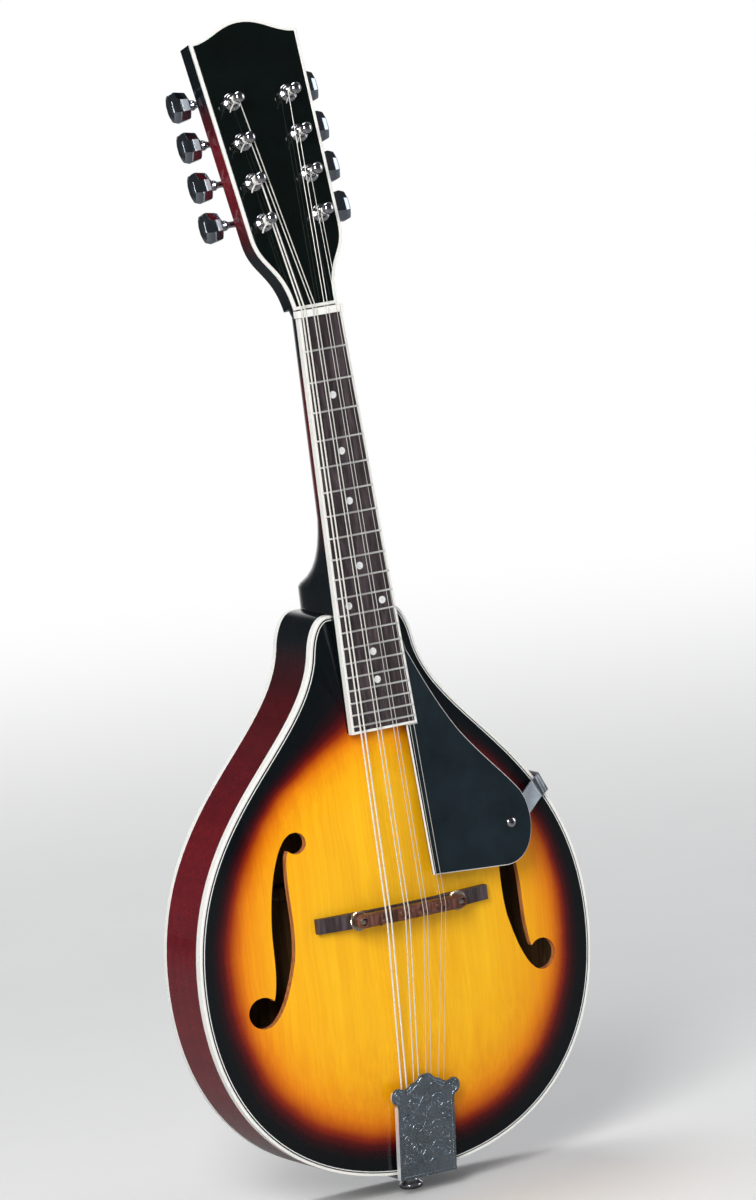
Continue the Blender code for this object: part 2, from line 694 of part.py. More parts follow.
def make_neck(root, neck, head):
    """Neck, heel and headstock core in one piece of wood, bored for the tuners."""
    turn = neck.matrix_local.inverted()
    lift = neck.matrix_local.inverted() @ (neck.matrix_local @ head.matrix_local)
    top = -BOARD_THICKNESS - GLUE_LINE
    loops = []

    def from_frame(matrix, points):
        found = []
        for point in points:
            here = (matrix @ place(point)) / MM
            found.append((here.x, -here.y, here.z))
        return found

    blend_up = 16.0
    head_top = -OVERLAY_THICKNESS - GLUE_LINE
    foot = NUT_WIDTH / 2.0 - 0.6
    loops.append(from_frame(lift, [(x, out, blend_up) for x, out in section(
        foot + 0.6, head_top - 0.1, HEAD_THICKNESS - 0.3, 0.5)]))
    loops.append(from_frame(lift, [(x, out, 1.0) for x, out in section(
        foot - 0.2, head_top - 0.1, HEAD_THICKNESS + 1.0, 0.65)]))
    straight = JOIN_FROM_NUT - HEEL_LENGTH - HEEL_CAP_LENGTH
    stations = 6
    for k in range(stations + 1):
        from_nut = -1.0 + (straight + 1.0) * k / stations
        share = k / stations
        depth = NECK_DEPTH_AT_NUT + (NECK_DEPTH_AT_HEEL - NECK_DEPTH_AT_NUT) * share
        half = board_half_width(max(0.0, from_nut)) - NECK_SIDE_INSET
        loops.append([(x, out, JOIN_FROM_NUT - from_nut)
                      for x, out in section(half, top, depth, 0.85)])
    full_depth = BODY_DEPTH + BOARD_RISE_AT_JOIN + top
    for share, fill, square in ((0.2, 0.07, 0.82), (0.4, 0.19, 0.79), (0.58, 0.33, 0.73),
                                (0.74, 0.49, 0.65), (0.88, 0.7, 0.55), (0.97, 0.91, 0.47),
                                (1.03, 0.99, 0.43)):
        from_nut = straight + HEEL_LENGTH * share
        depth = NECK_DEPTH_AT_HEEL + (full_depth - NECK_DEPTH_AT_HEEL) * fill
        half = board_half_width(from_nut) - NECK_SIDE_INSET
        lean = math.tan(NECK_ANGLE)
        loops.append([(x, out, JOIN_FROM_NUT - from_nut + lean * (top - out))
                      for x, out in section(half, top, depth, square)])
    half = board_half_width(JOIN_FROM_NUT) - NECK_SIDE_INSET
    heel = section(half, BOARD_RISE_AT_JOIN - BOARD_THICKNESS - 1.5 * GLUE_LINE,
                   full_depth + 0.2, 0.43)
    loops.append(from_frame(turn, [(x, out, GLUE_LINE) for x, out in heel]))
    piece = loft("neck", "maroon_wood", neck, loops, smooth_angle=50.0)
    core = clipped(head_outline(), lambda x, up: up - 3.0)
    join(piece, "head_core_tool", head, [slab(core, head_top, HEAD_BACK)])
    bore = circumscribed(FERRULE_RADIUS + PRESS_FIT, ROUND_STEPS)
    bores = [moved(turned([(bore, HEAD_BACK - 2.0), (bore, 2.0)], ROUND_STEPS, "out"), (x, 0.0, up))
             for side, x, up in post_places()]
    cut(piece, "post_bore_tool", head, bores)
    return bores


def make_head_face(head, bores):
    """Black face veneer and its white binding."""
    outline = head_outline()
    face = loft("headstock_overlay", "black_lacquer", head,
                slab(inset(outline, HEAD_BINDING + GLUE_LINE), -OVERLAY_THICKNESS, 0.0))
    cut(face, "overlay_bore_tool", head, bores)
    ring_piece("headstock_binding", "ivory_plastic", head, outline, [
        (0.0, -OVERLAY_THICKNESS), (HEAD_BINDING, -OVERLAY_THICKNESS),
        (HEAD_BINDING, 0.0), (0.0, 0.0)])


def make_fretboard(root, neck):
    """Tapered board with its frets, its binding, the nut and the riser over the body."""
    inner_end = BOARD_LENGTH - BOARD_BINDING - GLUE_LINE
    side = BOARD_BINDING + GLUE_LINE
    profile = [(0.0, -BOARD_THICKNESS), (0.0, 0.0)]
    for number in range(1, FRET_COUNT + 1):
        middle = fret_place(number)
        half = FRET_WIDTH / 2.0
        profile += [(middle - half, 0.0), (middle - half * 0.45, FRET_HEIGHT),
                    (middle + half * 0.45, FRET_HEIGHT), (middle + half, 0.0)]
    profile += [(inner_end, 0.0), (inner_end, -BOARD_THICKNESS)]
    loops = [[(sign * (board_half_width(s) - side), out, JOIN_FROM_NUT - s) for s, out in profile]
             for sign in (-1.0, 1.0)]
    loft("fretboard", "rosewood", neck, loops)
    end = BOARD_LENGTH
    strip = [(board_half_width(0.0), 0.0), (board_half_width(end), end),
             (-board_half_width(end), end), (-board_half_width(0.0), 0.0),
             (-board_half_width(0.0) + BOARD_BINDING, 0.0),
             (-board_half_width(end) + BOARD_BINDING, end - BOARD_BINDING),
             (board_half_width(end) - BOARD_BINDING, end - BOARD_BINDING),
             (board_half_width(0.0) - BOARD_BINDING, 0.0)]
    loft("fretboard_binding", "ivory_plastic", neck,
         slab([(x, JOIN_FROM_NUT - s) for x, s in strip], -BOARD_THICKNESS, 0.0))
    edge = NUT_WIDTH / 2.0
    crest = [(-edge, -BOARD_THICKNESS), (-edge, NUT_TOP - 0.5), (-edge + 0.5, NUT_TOP)]
    for gauge, x in zip(STRING_GAUGES, STRINGS_AT_NUT):
        half = gauge / 2.0 + 0.15
        crest += [(x - half, NUT_TOP), (x - half, NUT_SLOT_FLOOR),
                  (x + half, NUT_SLOT_FLOOR), (x + half, NUT_TOP)]
    crest += [(edge - 0.5, NUT_TOP), (edge, NUT_TOP - 0.5), (edge, -BOARD_THICKNESS)]
    front = JOIN_FROM_NUT + GLUE_LINE
    loft("nut", "ivory_plastic", neck,
         [[(x, out, front) for x, out in crest],
          [(x, out if out <= 0.0 else out - 0.35, front + NUT_LENGTH) for x, out in crest]])
    turn = neck.matrix_local
    stations = 12
    loops = []
    seat = 2.0 * LOOSE_FIT
    for k in range(stations):
        from_nut = JOIN_FROM_NUT + 0.6 + (BOARD_LENGTH - 1.2 - JOIN_FROM_NUT) * k / (stations - 1)
        half = board_half_width(from_nut) - 1.0
        roof = (turn @ place((0.0, -BOARD_THICKNESS - GLUE_LINE, JOIN_FROM_NUT - from_nut))) / MM
        up = roof.z
        loops.append([(half, -roof.y, up), (-half, -roof.y, up),
                      (-half, top_surface(half, up) + seat, up),
                      (-half / 2.0, top_surface(half / 2.0, up) + seat, up),
                      (0.0, top_surface(0.0, up) + seat, up),
                      (half / 2.0, top_surface(half / 2.0, up) + seat, up),
                      (half, top_surface(half, up) + seat, up)])
    loft("fretboard_riser", "black_lacquer", root, loops)


def gear_outline():
    """Tooth corners as (angle, radius), one tooth pointing up."""
    pitch = math.tau / GEAR_TEETH
    tip = GEAR_PITCH_RADIUS + TOOTH_ADDENDUM
    root = GEAR_PITCH_RADIUS - TOOTH_DEDENDUM
    half = pitch * TOOTH_SHARE / 2.0
    corners = []
    for tooth in range(GEAR_TEETH):
        middle = tooth * pitch
        corners += [(middle - half * 1.45, root), (middle - half * 0.55, tip),
                    (middle + half * 0.55, tip), (middle + half * 1.45, root)]
    return corners


def geared_post_mesh(side):
    """String post with a skew-cut gear on its lower end and a hole for the string."""
    skew = 1.0 / (WORM_RADIUS * GEAR_TEETH)
    half = GEAR_THICKNESS / 2.0
    gear = []
    for offset in (-half, half):
        # Out is the -Y way, so a point further out has turned back by the skew
        gear.append([(radius * math.sin(angle - skew * offset), offset,
                      radius * math.cos(angle - skew * offset))
                     for angle, radius in gear_outline()])
    level = -GEAR_LEVEL
    below = POST_WAIST_RADIUS - 0.3
    cap = [(below, -half - 1.4), (below, -half + 0.4), (POST_RADIUS, half - 0.4 + 0.8)]
    cap += [(POST_RADIUS, level + POST_WAIST_FLOOR), (POST_WAIST_RADIUS, level + POST_WAIST_FLOOR + 0.5),
            (POST_WAIST_RADIUS, level + POST_CAP_FLOOR - 0.3), (POST_RADIUS, level + POST_CAP_FLOOR),
            (POST_RADIUS, level + POST_TOP - 1.0), (POST_RADIUS * 0.72, level + POST_TOP)]
    mesh_name = f"geared_post_{'treble' if side > 0 else 'bass'}"
    points, faces = lofted(turned(cap, ROUND_STEPS, "out"))
    stem = mesh_from(mesh_name, points, faces)
    return stem, gear


def make_posts(head):
    """Eight posts in their ferrules."""
    for number, (side, x, up) in enumerate(post_places(), start=1):
        mesh, gear = geared_post_mesh(side)
        post = add(f"geared_post_{number}", "chrome", head, mesh, (x, GEAR_LEVEL, up))
        join(post, f"gear_tool_{number}", post, [gear])
        away = math.radians(225.0)
        reach = POST_RADIUS + 1.0
        hole = []
        for sign in (-1.0, 1.0):
            centre = (sign * reach * math.cos(away), sign * reach * math.sin(away))
            ring = circle((0.0, 0.0), STRING_HOLE_RADIUS, 6)
            hole.append([(centre[0] - a * math.sin(away), STRING_HOLE_HEIGHT - GEAR_LEVEL + b,
                          centre[1] + a * math.cos(away)) for a, b in ring])
        cut(post, f"string_hole_tool_{number}", post, [hole])
        bore = circumscribed(POST_RADIUS + LOOSE_FIT, ROUND_STEPS)
        ferrule = turned([(bore, -FERRULE_DEPTH), (FERRULE_RADIUS, -FERRULE_DEPTH),
                          (FERRULE_RADIUS, GLUE_LINE), (FERRULE_FLANGE_RADIUS, GLUE_LINE),
                          (FERRULE_FLANGE_RADIUS - 0.4, 1.2), (bore + 0.4, FERRULE_HEIGHT)],
                         ROUND_STEPS, "out")
        loft(f"post_ferrule_{number}", "chrome", head, ferrule, closed=True, at=(x, 0.0, up))


def knob_mesh(side):
    """Worm, shaft and faceted button in one skin; the right-hand thread runs round x."""
    steps = WORM_STEPS
    crest = WORM_RADIUS + TOOTH_ADDENDUM
    root = WORM_RADIUS - TOOTH_DEDENDUM
    half = THREAD_PITCH * TOOTH_SHARE / 2.0
    profile = [(-half * 1.45, root), (-half * 0.55, crest), (half * 0.55, crest),
               (half * 1.45, root)]
    size = len(profile)
    rows = (WORM_TURNS + 1) * steps + 1
    points = []
    for step in range(rows):
        middle = THREAD_PITCH * (step / steps - (WORM_TURNS + 1) / 2.0)
        # A gap between two threads meets the gear tooth at rest
        angle = math.tau * (middle / THREAD_PITCH + 0.5)
        fade = min(1.0, (step + 1) / 3.0, (rows - step) / 3.0)
        for shift, radius in profile:
            r = SHAFT_RADIUS + (radius - SHAFT_RADIUS) * fade
            points.append((middle + shift, -r * math.sin(angle), -r * math.cos(angle)))
    faces = []
    for step in range(rows - 1):
        here = step * size
        there = here + size
        for k in range(size - 1):
            faces.append((here + k, here + k + 1, there + k + 1, there + k))
        if step + steps < rows - 1:
            ahead = here + steps * size
            faces.append((here + size - 1, ahead, ahead + size, there + size - 1))
    start_angle = math.tau * (0.5 - (WORM_TURNS + 1) / 2.0)

    def ring(along, out_radius, up_radius):
        """One more ring of the shaft, in step with the thread's rows."""
        base = len(points)
        for k in range(steps):
            angle = start_angle + math.tau * k / steps
            points.append((along, -out_radius * math.sin(angle), -up_radius * math.cos(angle)))
        return [base + k for k in range(steps)]

    def belt(one, two):
        for k in range(steps):
            nxt = (k + 1) % steps
            faces.append((one[k], one[nxt], two[nxt], two[k]))

    def seam(edge, corner, loop):
        """Joins the thread's last turn, with its square end, to a ring of the shaft."""
        for k in range(steps):
            faces.append((edge[k], edge[k + 1], loop[(k + 1) % steps], loop[k]))
        chain = [edge[-1]] + corner + [edge[0]]
        for one, two in zip(chain, chain[1:]):
            faces.append((one, two, loop[0]))

    worm_half = (WORM_TURNS + 1) * THREAD_PITCH / 2.0 + half * 1.45
    button = TREBLE_BUTTON_FROM_CENTRE if side > 0.0 else BASS_BUTTON_FROM_CENTRE
    centre = button - POST_SPREAD / 2.0
    near = centre - BUTTON_LENGTH / 2.0
    stub = worm_half + 2.0 * LOOSE_FIT + EAR_THICKNESS + 0.5
    rod = [(near - 2.6, SHAFT_RADIUS, SHAFT_RADIUS), (near - 2.0, SHAFT_RADIUS + 1.1, SHAFT_RADIUS + 1.1)]
    for share, thick, wide in ((0.0, 0.5, 0.3), (0.16, 0.92, 0.86), (0.66, 1.0, 1.0),
                               (0.9, 0.8, 0.86), (1.0, 0.5, 0.6)):
        rod.append((near + BUTTON_LENGTH * share, BUTTON_THICKNESS / 2.0 * thick,
                    BUTTON_WIDTH / 2.0 * wide))
    plain = [(stub, SHAFT_RADIUS, SHAFT_RADIUS)]
    low_side, high_side = (plain, rod) if side > 0.0 else (rod, plain)
    low = ring(-worm_half - 0.2, SHAFT_RADIUS, SHAFT_RADIUS)
    seam([k * size for k in range(steps + 1)], [size - 1, size - 2, size - 3], low)
    for along, out_radius, up_radius in low_side:
        after = ring(-along, out_radius, up_radius)
        belt(low, after)
        low = after
    faces.append(tuple(low))
    last = (rows - 1 - steps) * size
    high = ring(worm_half + 0.2, SHAFT_RADIUS, SHAFT_RADIUS)
    top_row = (rows - 1) * size
    edge = [last + k * size + size - 1 for k in range(steps + 1)]
    seam(edge, [top_row + 2, top_row + 1, top_row], high)
    for along, out_radius, up_radius in high_side:
        after = ring(along, out_radius, up_radius)
        belt(high, after)
        high = after
    faces.append(tuple(high))
    name = f"{'treble' if side > 0.0 else 'bass'}_knob"
    return mesh_from(name, points, faces)


def make_knobs(head):
    """Eight knobs, each with its worm over the gear of its post."""
    meshes = {side: knob_mesh(side) for side in (-1.0, 1.0)}
    for number, (side, x, up) in enumerate(post_places(), start=1):
        add(f"tuner_knob_{number}", "chrome", head, meshes[side], (x, GEAR_LEVEL, up + WORM_OFFSET))


def make_plates(head):
    """Two tuner plates, each with a pair of ears for every shaft."""
    places = post_places()
    worm_half = THREAD_PITCH * ((WORM_TURNS + 1) / 2.0 + TOOTH_SHARE * 0.725) + LOOSE_FIT
    low = FIRST_POST_UP - 9.0
    high = FIRST_POST_UP + (POSTS_PER_SIDE - 1) * POST_PITCH + WORM_OFFSET + 8.0
    for side, name in ((-1.0, "bass_tuner_plate"), (1.0, "treble_tuner_plate")):
        x = side * POST_SPREAD / 2.0
        half = PLATE_WIDTH / 2.0
        plate_top = HEAD_BACK - GLUE_LINE
        outline = [(x - half, low + 3.0), (x - half + 3.0, low), (x + half - 3.0, low),
                   (x + half, low + 3.0), (x + half, high - 3.0), (x + half - 3.0, high),
                   (x - half + 3.0, high), (x - half, high - 3.0)]
        plate = loft(name, "chrome", head, slab(outline, PLATE_BACK, plate_top))
        ears = []
        holes = []
        for post_side, post_x, up in places:
            if post_side != side:
                continue
            level = up + WORM_OFFSET
            for sign in (-1.0, 1.0):
                inner = post_x + sign * (worm_half + LOOSE_FIT)
                outer = inner + sign * EAR_THICKNESS
                tip = GEAR_LEVEL - SHAFT_RADIUS - 1.6
                shape = [(level - EAR_WIDTH / 2.0, PLATE_BACK + 0.4),
                         (level + EAR_WIDTH / 2.0, PLATE_BACK + 0.4),
                         (level + EAR_WIDTH / 3.0, tip), (level - EAR_WIDTH / 3.0, tip)]
                ears.append(across(shape, min(inner, outer), max(inner, outer)))
            reach = worm_half + EAR_THICKNESS + 1.0
            bearing_radius = circumscribed(SHAFT_RADIUS + RUNNING_FIT, ROUND_STEPS)
            bearing = turned([(bearing_radius, -reach), (bearing_radius, reach)], ROUND_STEPS, "x")
            holes.append(moved(bearing, (post_x, GEAR_LEVEL, level)))
            post_bore = circumscribed(POST_RADIUS + LOOSE_FIT, ROUND_STEPS)
            post_hole = turned([(post_bore, PLATE_BACK - 1.0), (post_bore, plate_top + 1.0)],
                               ROUND_STEPS, "out")
            holes.append(moved(post_hole, (post_x, 0.0, up)))
        tools = guide(f"{name}_ears_tool", head, ears)
        combine(plate, tools, "UNION")
        cut(plate, f"{name}_holes_tool", head, holes)


def stadium(length, width, steps=5):
    """A bar with round ends, seen from the front, clockwise."""
    half = (length - width) / 2.0
    radius = width / 2.0
    right = [(half + radius * math.cos(a), radius * math.sin(a))
             for a in (math.pi / 2.0 - math.pi * k / steps for k in range(steps + 1))]
    return right + [(-x, -y) for x, y in right]


def make_bridge(root, neck):
    """Base with two studs, thumbwheels and a compensated saddle."""
    half = BRIDGE_BASE_LENGTH / 2.0
    middle = -BRIDGE_DOWN
    steps = 12
    lower = []
    for k in range(steps + 1):
        x = -half + 2.0 * half * k / steps
        relief = BRIDGE_RELIEF if abs(x) < half * 0.45 else 0.0
        lower.append((x, top_surface(x, middle) + LOOSE_FIT + relief))
    flat = SADDLE_LENGTH / 2.0 + 2.0
    upper = [(half, BRIDGE_BASE_END_TOP), (flat + 4.0, BRIDGE_BASE_TOP - 1.2), (flat, BRIDGE_BASE_TOP),
             (-flat, BRIDGE_BASE_TOP), (-flat - 4.0, BRIDGE_BASE_TOP - 1.2), (-half, BRIDGE_BASE_END_TOP)]
    outline = lower + upper
    depth = BRIDGE_BASE_WIDTH / 2.0
    base = loft("bridge_base", "rosewood", root,
                [[(x, out, middle - depth) for x, out in outline],
                 [(x, out, middle + depth) for x, out in outline]])
    crest = (neck.matrix_local @ place((0.0, STRING_HEIGHT_AT_BRIDGE, JOIN_FROM_NUT - SCALE_LENGTH))) / MM
    crest_out = -crest.y
    wheel_low = BRIDGE_BASE_TOP + LOOSE_FIT + WHEEL_DOWN_TRAVEL
    saddle_low = wheel_low + WHEEL_THICKNESS + LOOSE_FIT
    stud_top = saddle_low + STUD_ENGAGEMENT
    studs = []
    for sign in (-1.0, 1.0):
        stud = turned([(STUD_RADIUS, BRIDGE_BASE_TOP - 3.0), (STUD_RADIUS, stud_top)], 12, "out")
        studs.append(moved(stud, (sign * STUD_SPREAD / 2.0, 0.0, middle)))
    join(base, "bridge_stud_tool", root, studs)
    bar_top = crest_out - 2.6
    loops = []
    for out, length, width in ((saddle_low, SADDLE_LENGTH, SADDLE_WIDTH),
                               (bar_top - 1.8, SADDLE_LENGTH, SADDLE_WIDTH),
                               (bar_top, SADDLE_LENGTH - 2.5, SADDLE_WIDTH - 2.2)):
        loops.append([(x, out, middle + up) for x, up in stadium(length, width)])
    saddle = loft("bridge_saddle", "rosewood", root, loops)
    courses = []
    for pair, shift in zip(range(4), (-1.5, 0.6, -1.1, 1.1)):
        left = STRINGS_AT_BRIDGE[2 * pair] - 2.6
        right = STRINGS_AT_BRIDGE[2 * pair + 1] + 2.6
        wide = SADDLE_CREST_WIDTH / 2.0
        shape = [(middle + shift - wide - 0.5, bar_top - 1.0), (middle + shift - wide * 0.3, crest_out),
                 (middle + shift + wide * 0.3, crest_out), (middle + shift + wide + 0.5, bar_top - 1.0)]
        courses.append(across(shape, left, right))
    join(saddle, "saddle_crest_tool", root, courses)
    holes = []
    for sign in (-1.0, 1.0):
        hole = turned([(STUD_RADIUS + LOOSE_FIT, saddle_low - 1.0),
                       (STUD_RADIUS + LOOSE_FIT, bar_top + 1.0)], 12, "out")
        holes.append(moved(hole, (sign * STUD_SPREAD / 2.0, 0.0, middle)))
    cut(saddle, "saddle_hole_tool", root, holes)
    for sign, name in ((-1.0, "bass_thumbwheel"), (1.0, "treble_thumbwheel")):
        rim = []
        bore = []
        count = WHEEL_KNURLS * 2
        for k in range(count):
            angle = math.tau * k / count
            radius = WHEEL_RADIUS if k % 2 == 0 else WHEEL_RADIUS - 0.45
            rim.append((radius * math.cos(angle), radius * math.sin(angle)))
            bore.append(((STUD_RADIUS + LOOSE_FIT) * math.cos(angle),
                         (STUD_RADIUS + LOOSE_FIT) * math.sin(angle)))
        loops = [[(x, 0.0, up) for x, up in bore], [(x, 0.0, up) for x, up in rim],
                 [(x, WHEEL_THICKNESS, up) for x, up in rim], [(x, WHEEL_THICKNESS, up) for x, up in bore]]
        loft(name, "plated_steel", root, loops, closed=True, at=(sign * STUD_SPREAD / 2.0, wheel_low, middle))
    return crest_out


def make_guard(root, neck):
    """Floating pickguard, its bent bracket round the rim and the screw that joins them."""
    end = BOARD_LENGTH - JOIN_FROM_NUT
    gap = LOOSE_FIT
    inner = board_half_width(BOARD_LENGTH) + gap
    tip_down = 18.0
    tip = board_half_width(JOIN_FROM_NUT + tip_down) + gap
    outline = [(tip, -tip_down), (tip + 0.8, -tip_down)]
    outline += bezier((tip + 2.2, -tip_down - 8.0), (29.5, -42.0), (38.0, -62.0), (49.6, -79.5), 5)
    outline += bezier((49.6, -79.5), (62.0, -97.0), (75.0, -109.0), (83.5, -121.0), 4)
    outline += bezier((83.5, -121.0), (92.5, -136.0), (88.0, -163.9), (68.0, -163.9), 8)
    outline += [(68.0, -163.9), (18.3, -160.6), (15.6, -end - gap), (inner, -end - gap)]
    low = GUARD_TOP - GUARD_THICKNESS
    guard = loft("pickguard", "guard_plastic", neck, slab(outline, low, GUARD_TOP))
    screw_x = GUARD_SCREW[0]
    screw_up = -GUARD_SCREW[1]
    clear = turned([(SCREW_SHANK_RADIUS + LOOSE_FIT, low - 8.0), (SCREW_SHANK_RADIUS + LOOSE_FIT, 4.0)],
                   12, "out")
    cut(guard, "guard_hole_tool", neck, [moved(clear, (screw_x, 0.0, screw_up))])
    strip_top = low - LOOSE_FIT
    strip_low = strip_top - BRACKET_THICKNESS
    head = turned([(SCREW_SHANK_RADIUS, strip_low - 1.0), (SCREW_SHANK_RADIUS, GUARD_TOP + GLUE_LINE),
                   (SCREW_HEAD_RADIUS, GUARD_TOP + GLUE_LINE),
                   (SCREW_HEAD_RADIUS, GUARD_TOP + GLUE_LINE + SCREW_HEAD_HEIGHT * 0.4),
                   (SCREW_HEAD_RADIUS * 0.6, GUARD_TOP + GLUE_LINE + SCREW_HEAD_HEIGHT)], 14, "out")
    loft("pickguard_screw", "chrome", neck, head, at=(screw_x, 0.0, screw_up))
    matrix = neck.matrix_local
    at_screw = (matrix @ place((screw_x, strip_top, screw_up))) / MM
    along = Vector((math.cos(BRACKET_DIRECTION), -math.sin(BRACKET_DIRECTION)))
    start = Vector((at_screw.x, at_screw.z))
    reach = 20.0
    while edge_share(start.x + along.x * reach, start.y + along.y * reach) < 1.0:
        reach += 0.25
    height = -at_screw.y
    lean = math.tan(NECK_ANGLE) * along.y
    half = BRACKET_WIDTH / 2.0
    tilt = math.tan(NECK_ANGLE) * along.x * half
    outside = reach + LOOSE_FIT + BRACKET_THICKNESS + 1.6
    path = [(-5.0, height + 5.0 * lean), (8.0, height - 8.0 * lean), (reach - 4.0, 2.6 + BRACKET_THICKNESS),
            (outside, 1.2 + BRACKET_THICKNESS), (outside, -BRACKET_SIDE_LEG)]
    shape = thick_line(path, BRACKET_THICKNESS)
    side = Vector((-along.y, along.x))
    loops = []
    for sign in (-1.0, 1.0):
        flat = [min(1.0, max(0.0, (reach - 4.0 - r) / (reach - 12.0))) for r, out in shape]
        loops.append([(start.x + along.x * r + side.x * half * sign, out - tilt * sign * share,
                       start.y + along.y * r + side.y * half * sign)
                      for (r, out), share in zip(shape, flat)])
    bracket = loft("pickguard_bracket", "satin_metal", root, loops)
    cut(bracket, "bracket_hole_tool", neck, [moved(clear, (screw_x, 0.0, screw_up))])


def make_tailpiece(root):
    """Hooked base plate bent over the tail, its lift-off cover and the end pin."""
    half = BASE_WIDTH / 2.0
    tail = -BODY_LENGTH - LOOSE_FIT
    start = -BODY_LENGTH + BASE_LENGTH
    top_start = top_surface(0.0, start) + LOOSE_FIT + BASE_SHEET
    path = [(start, top_start), (-HOOK_DOWN, top_surface(0.0, -HOOK_DOWN) + LOOSE_FIT + BASE_SHEET + 0.2),
            (tail + 6.0, LOOSE_FIT + BASE_SHEET + 1.0), (tail - BASE_SHEET, LOOSE_FIT + BASE_SHEET),
            (tail - BASE_SHEET, -BASE_END_LEG)]
    shape = thick_line(path[::-1], BASE_SHEET)
    base = loft("tailpiece_base", "chrome", root, across(shape, -half, half))
    hook_low = top_surface(0.0, -HOOK_DOWN) + LOOSE_FIT + BASE_SHEET * 0.5
    hooks = []
    for k in range(8):
        x = (k - 3.5) * HOOK_SPACING
        hooks.append(box((x - HOOK_WIDTH / 2.0, hook_low, -HOOK_DOWN - HOOK_SHEET),
                         (x + HOOK_WIDTH / 2.0, hook_low + BASE_SHEET * 0.5 + HOOK_HEIGHT, -HOOK_DOWN)))
    combine(base, guide("hook_tool", root, hooks), "UNION")
    pin_out = -END_PIN_DOWN
    pin_hole = turned([(END_PIN_RADIUS + PRESS_FIT, tail - 6.0), (END_PIN_RADIUS + PRESS_FIT, tail + 4.0)],
                      14, "up")
    cut(base, "pin_hole_tool", root, [moved(pin_hole, (0.0, pin_out, 0.0))])
    pin_tip = -BODY_LENGTH + RIM_THICKNESS + LINING_WIDTH + END_PIN_DEPTH
    bore = turned([(END_PIN_RADIUS + PRESS_FIT, pin_tip + 1.0), (END_PIN_RADIUS + PRESS_FIT, tail - 4.0)],
                  14, "up")
    for name in ("rim", "tail_block", "back_binding"):
        cut(bpy.data.objects[name], f"{name}_pin_tool", root, [moved(bore, (0.0, pin_out, 0.0))])
    seat = tail - BASE_SHEET - GLUE_LINE
    pin = turned([(END_PIN_RADIUS, pin_tip), (END_PIN_RADIUS, seat),
                  (END_PIN_HEAD_RADIUS * 0.9, seat), (END_PIN_HEAD_RADIUS * 0.75, seat - 2.2),
                  (END_PIN_HEAD_RADIUS * 0.62, seat - END_PIN_LENGTH * 0.45),
                  (END_PIN_HEAD_RADIUS, seat - END_PIN_LENGTH * 0.75),
                  (END_PIN_HEAD_RADIUS * 0.9, seat - END_PIN_LENGTH)], 12, "up")
    loft("end_pin", "chrome", root, pin, at=(0.0, pin_out, 0.0))
    hood = frame("cover_frame", root, (0.0, COVER_END_RISE, tail - BASE_SHEET), -COVER_SLOPE)
    lobe = (COVER_HALF_WIDTH + 0.6, COVER_SIDE_LENGTH + 7.0)
    outline = [(0.0, COVER_PEAK_LENGTH)]
    outline += [(4.5, COVER_PEAK_LENGTH - 1.0), (8.0, COVER_PEAK_LENGTH - 4.0),
                (11.0, COVER_PEAK_LENGTH - 6.8), (15.0, COVER_PEAK_LENGTH - 7.4)]
    outline += [(lobe[0] + 3.8 * math.cos(a), lobe[1] + 3.8 * math.sin(a))
                for a in (math.radians(125.0 - 36.0 * k) for k in range(7))]
    outline += [(COVER_HALF_WIDTH, COVER_SIDE_LENGTH), (COVER_HALF_WIDTH, 0.0)]
    outline = mirrored(outline)
    cover = loft("tailpiece_cover", "chrome", hood, slab(outline, 0.0, COVER_SHEET))
    wide = COVER_HALF_WIDTH
    walls = [box((-wide, -COVER_FLANGE, 0.0), (-wide + COVER_SHEET, 0.5, COVER_SIDE_LENGTH)),
             box((wide - COVER_SHEET, -COVER_FLANGE, 0.0), (wide, 0.5, COVER_SIDE_LENGTH)),
             box((-wide, -COVER_FLANGE, 0.0), (wide, 0.5, COVER_SHEET))]
    join(cover, "cover_wall_tool", hood, walls)


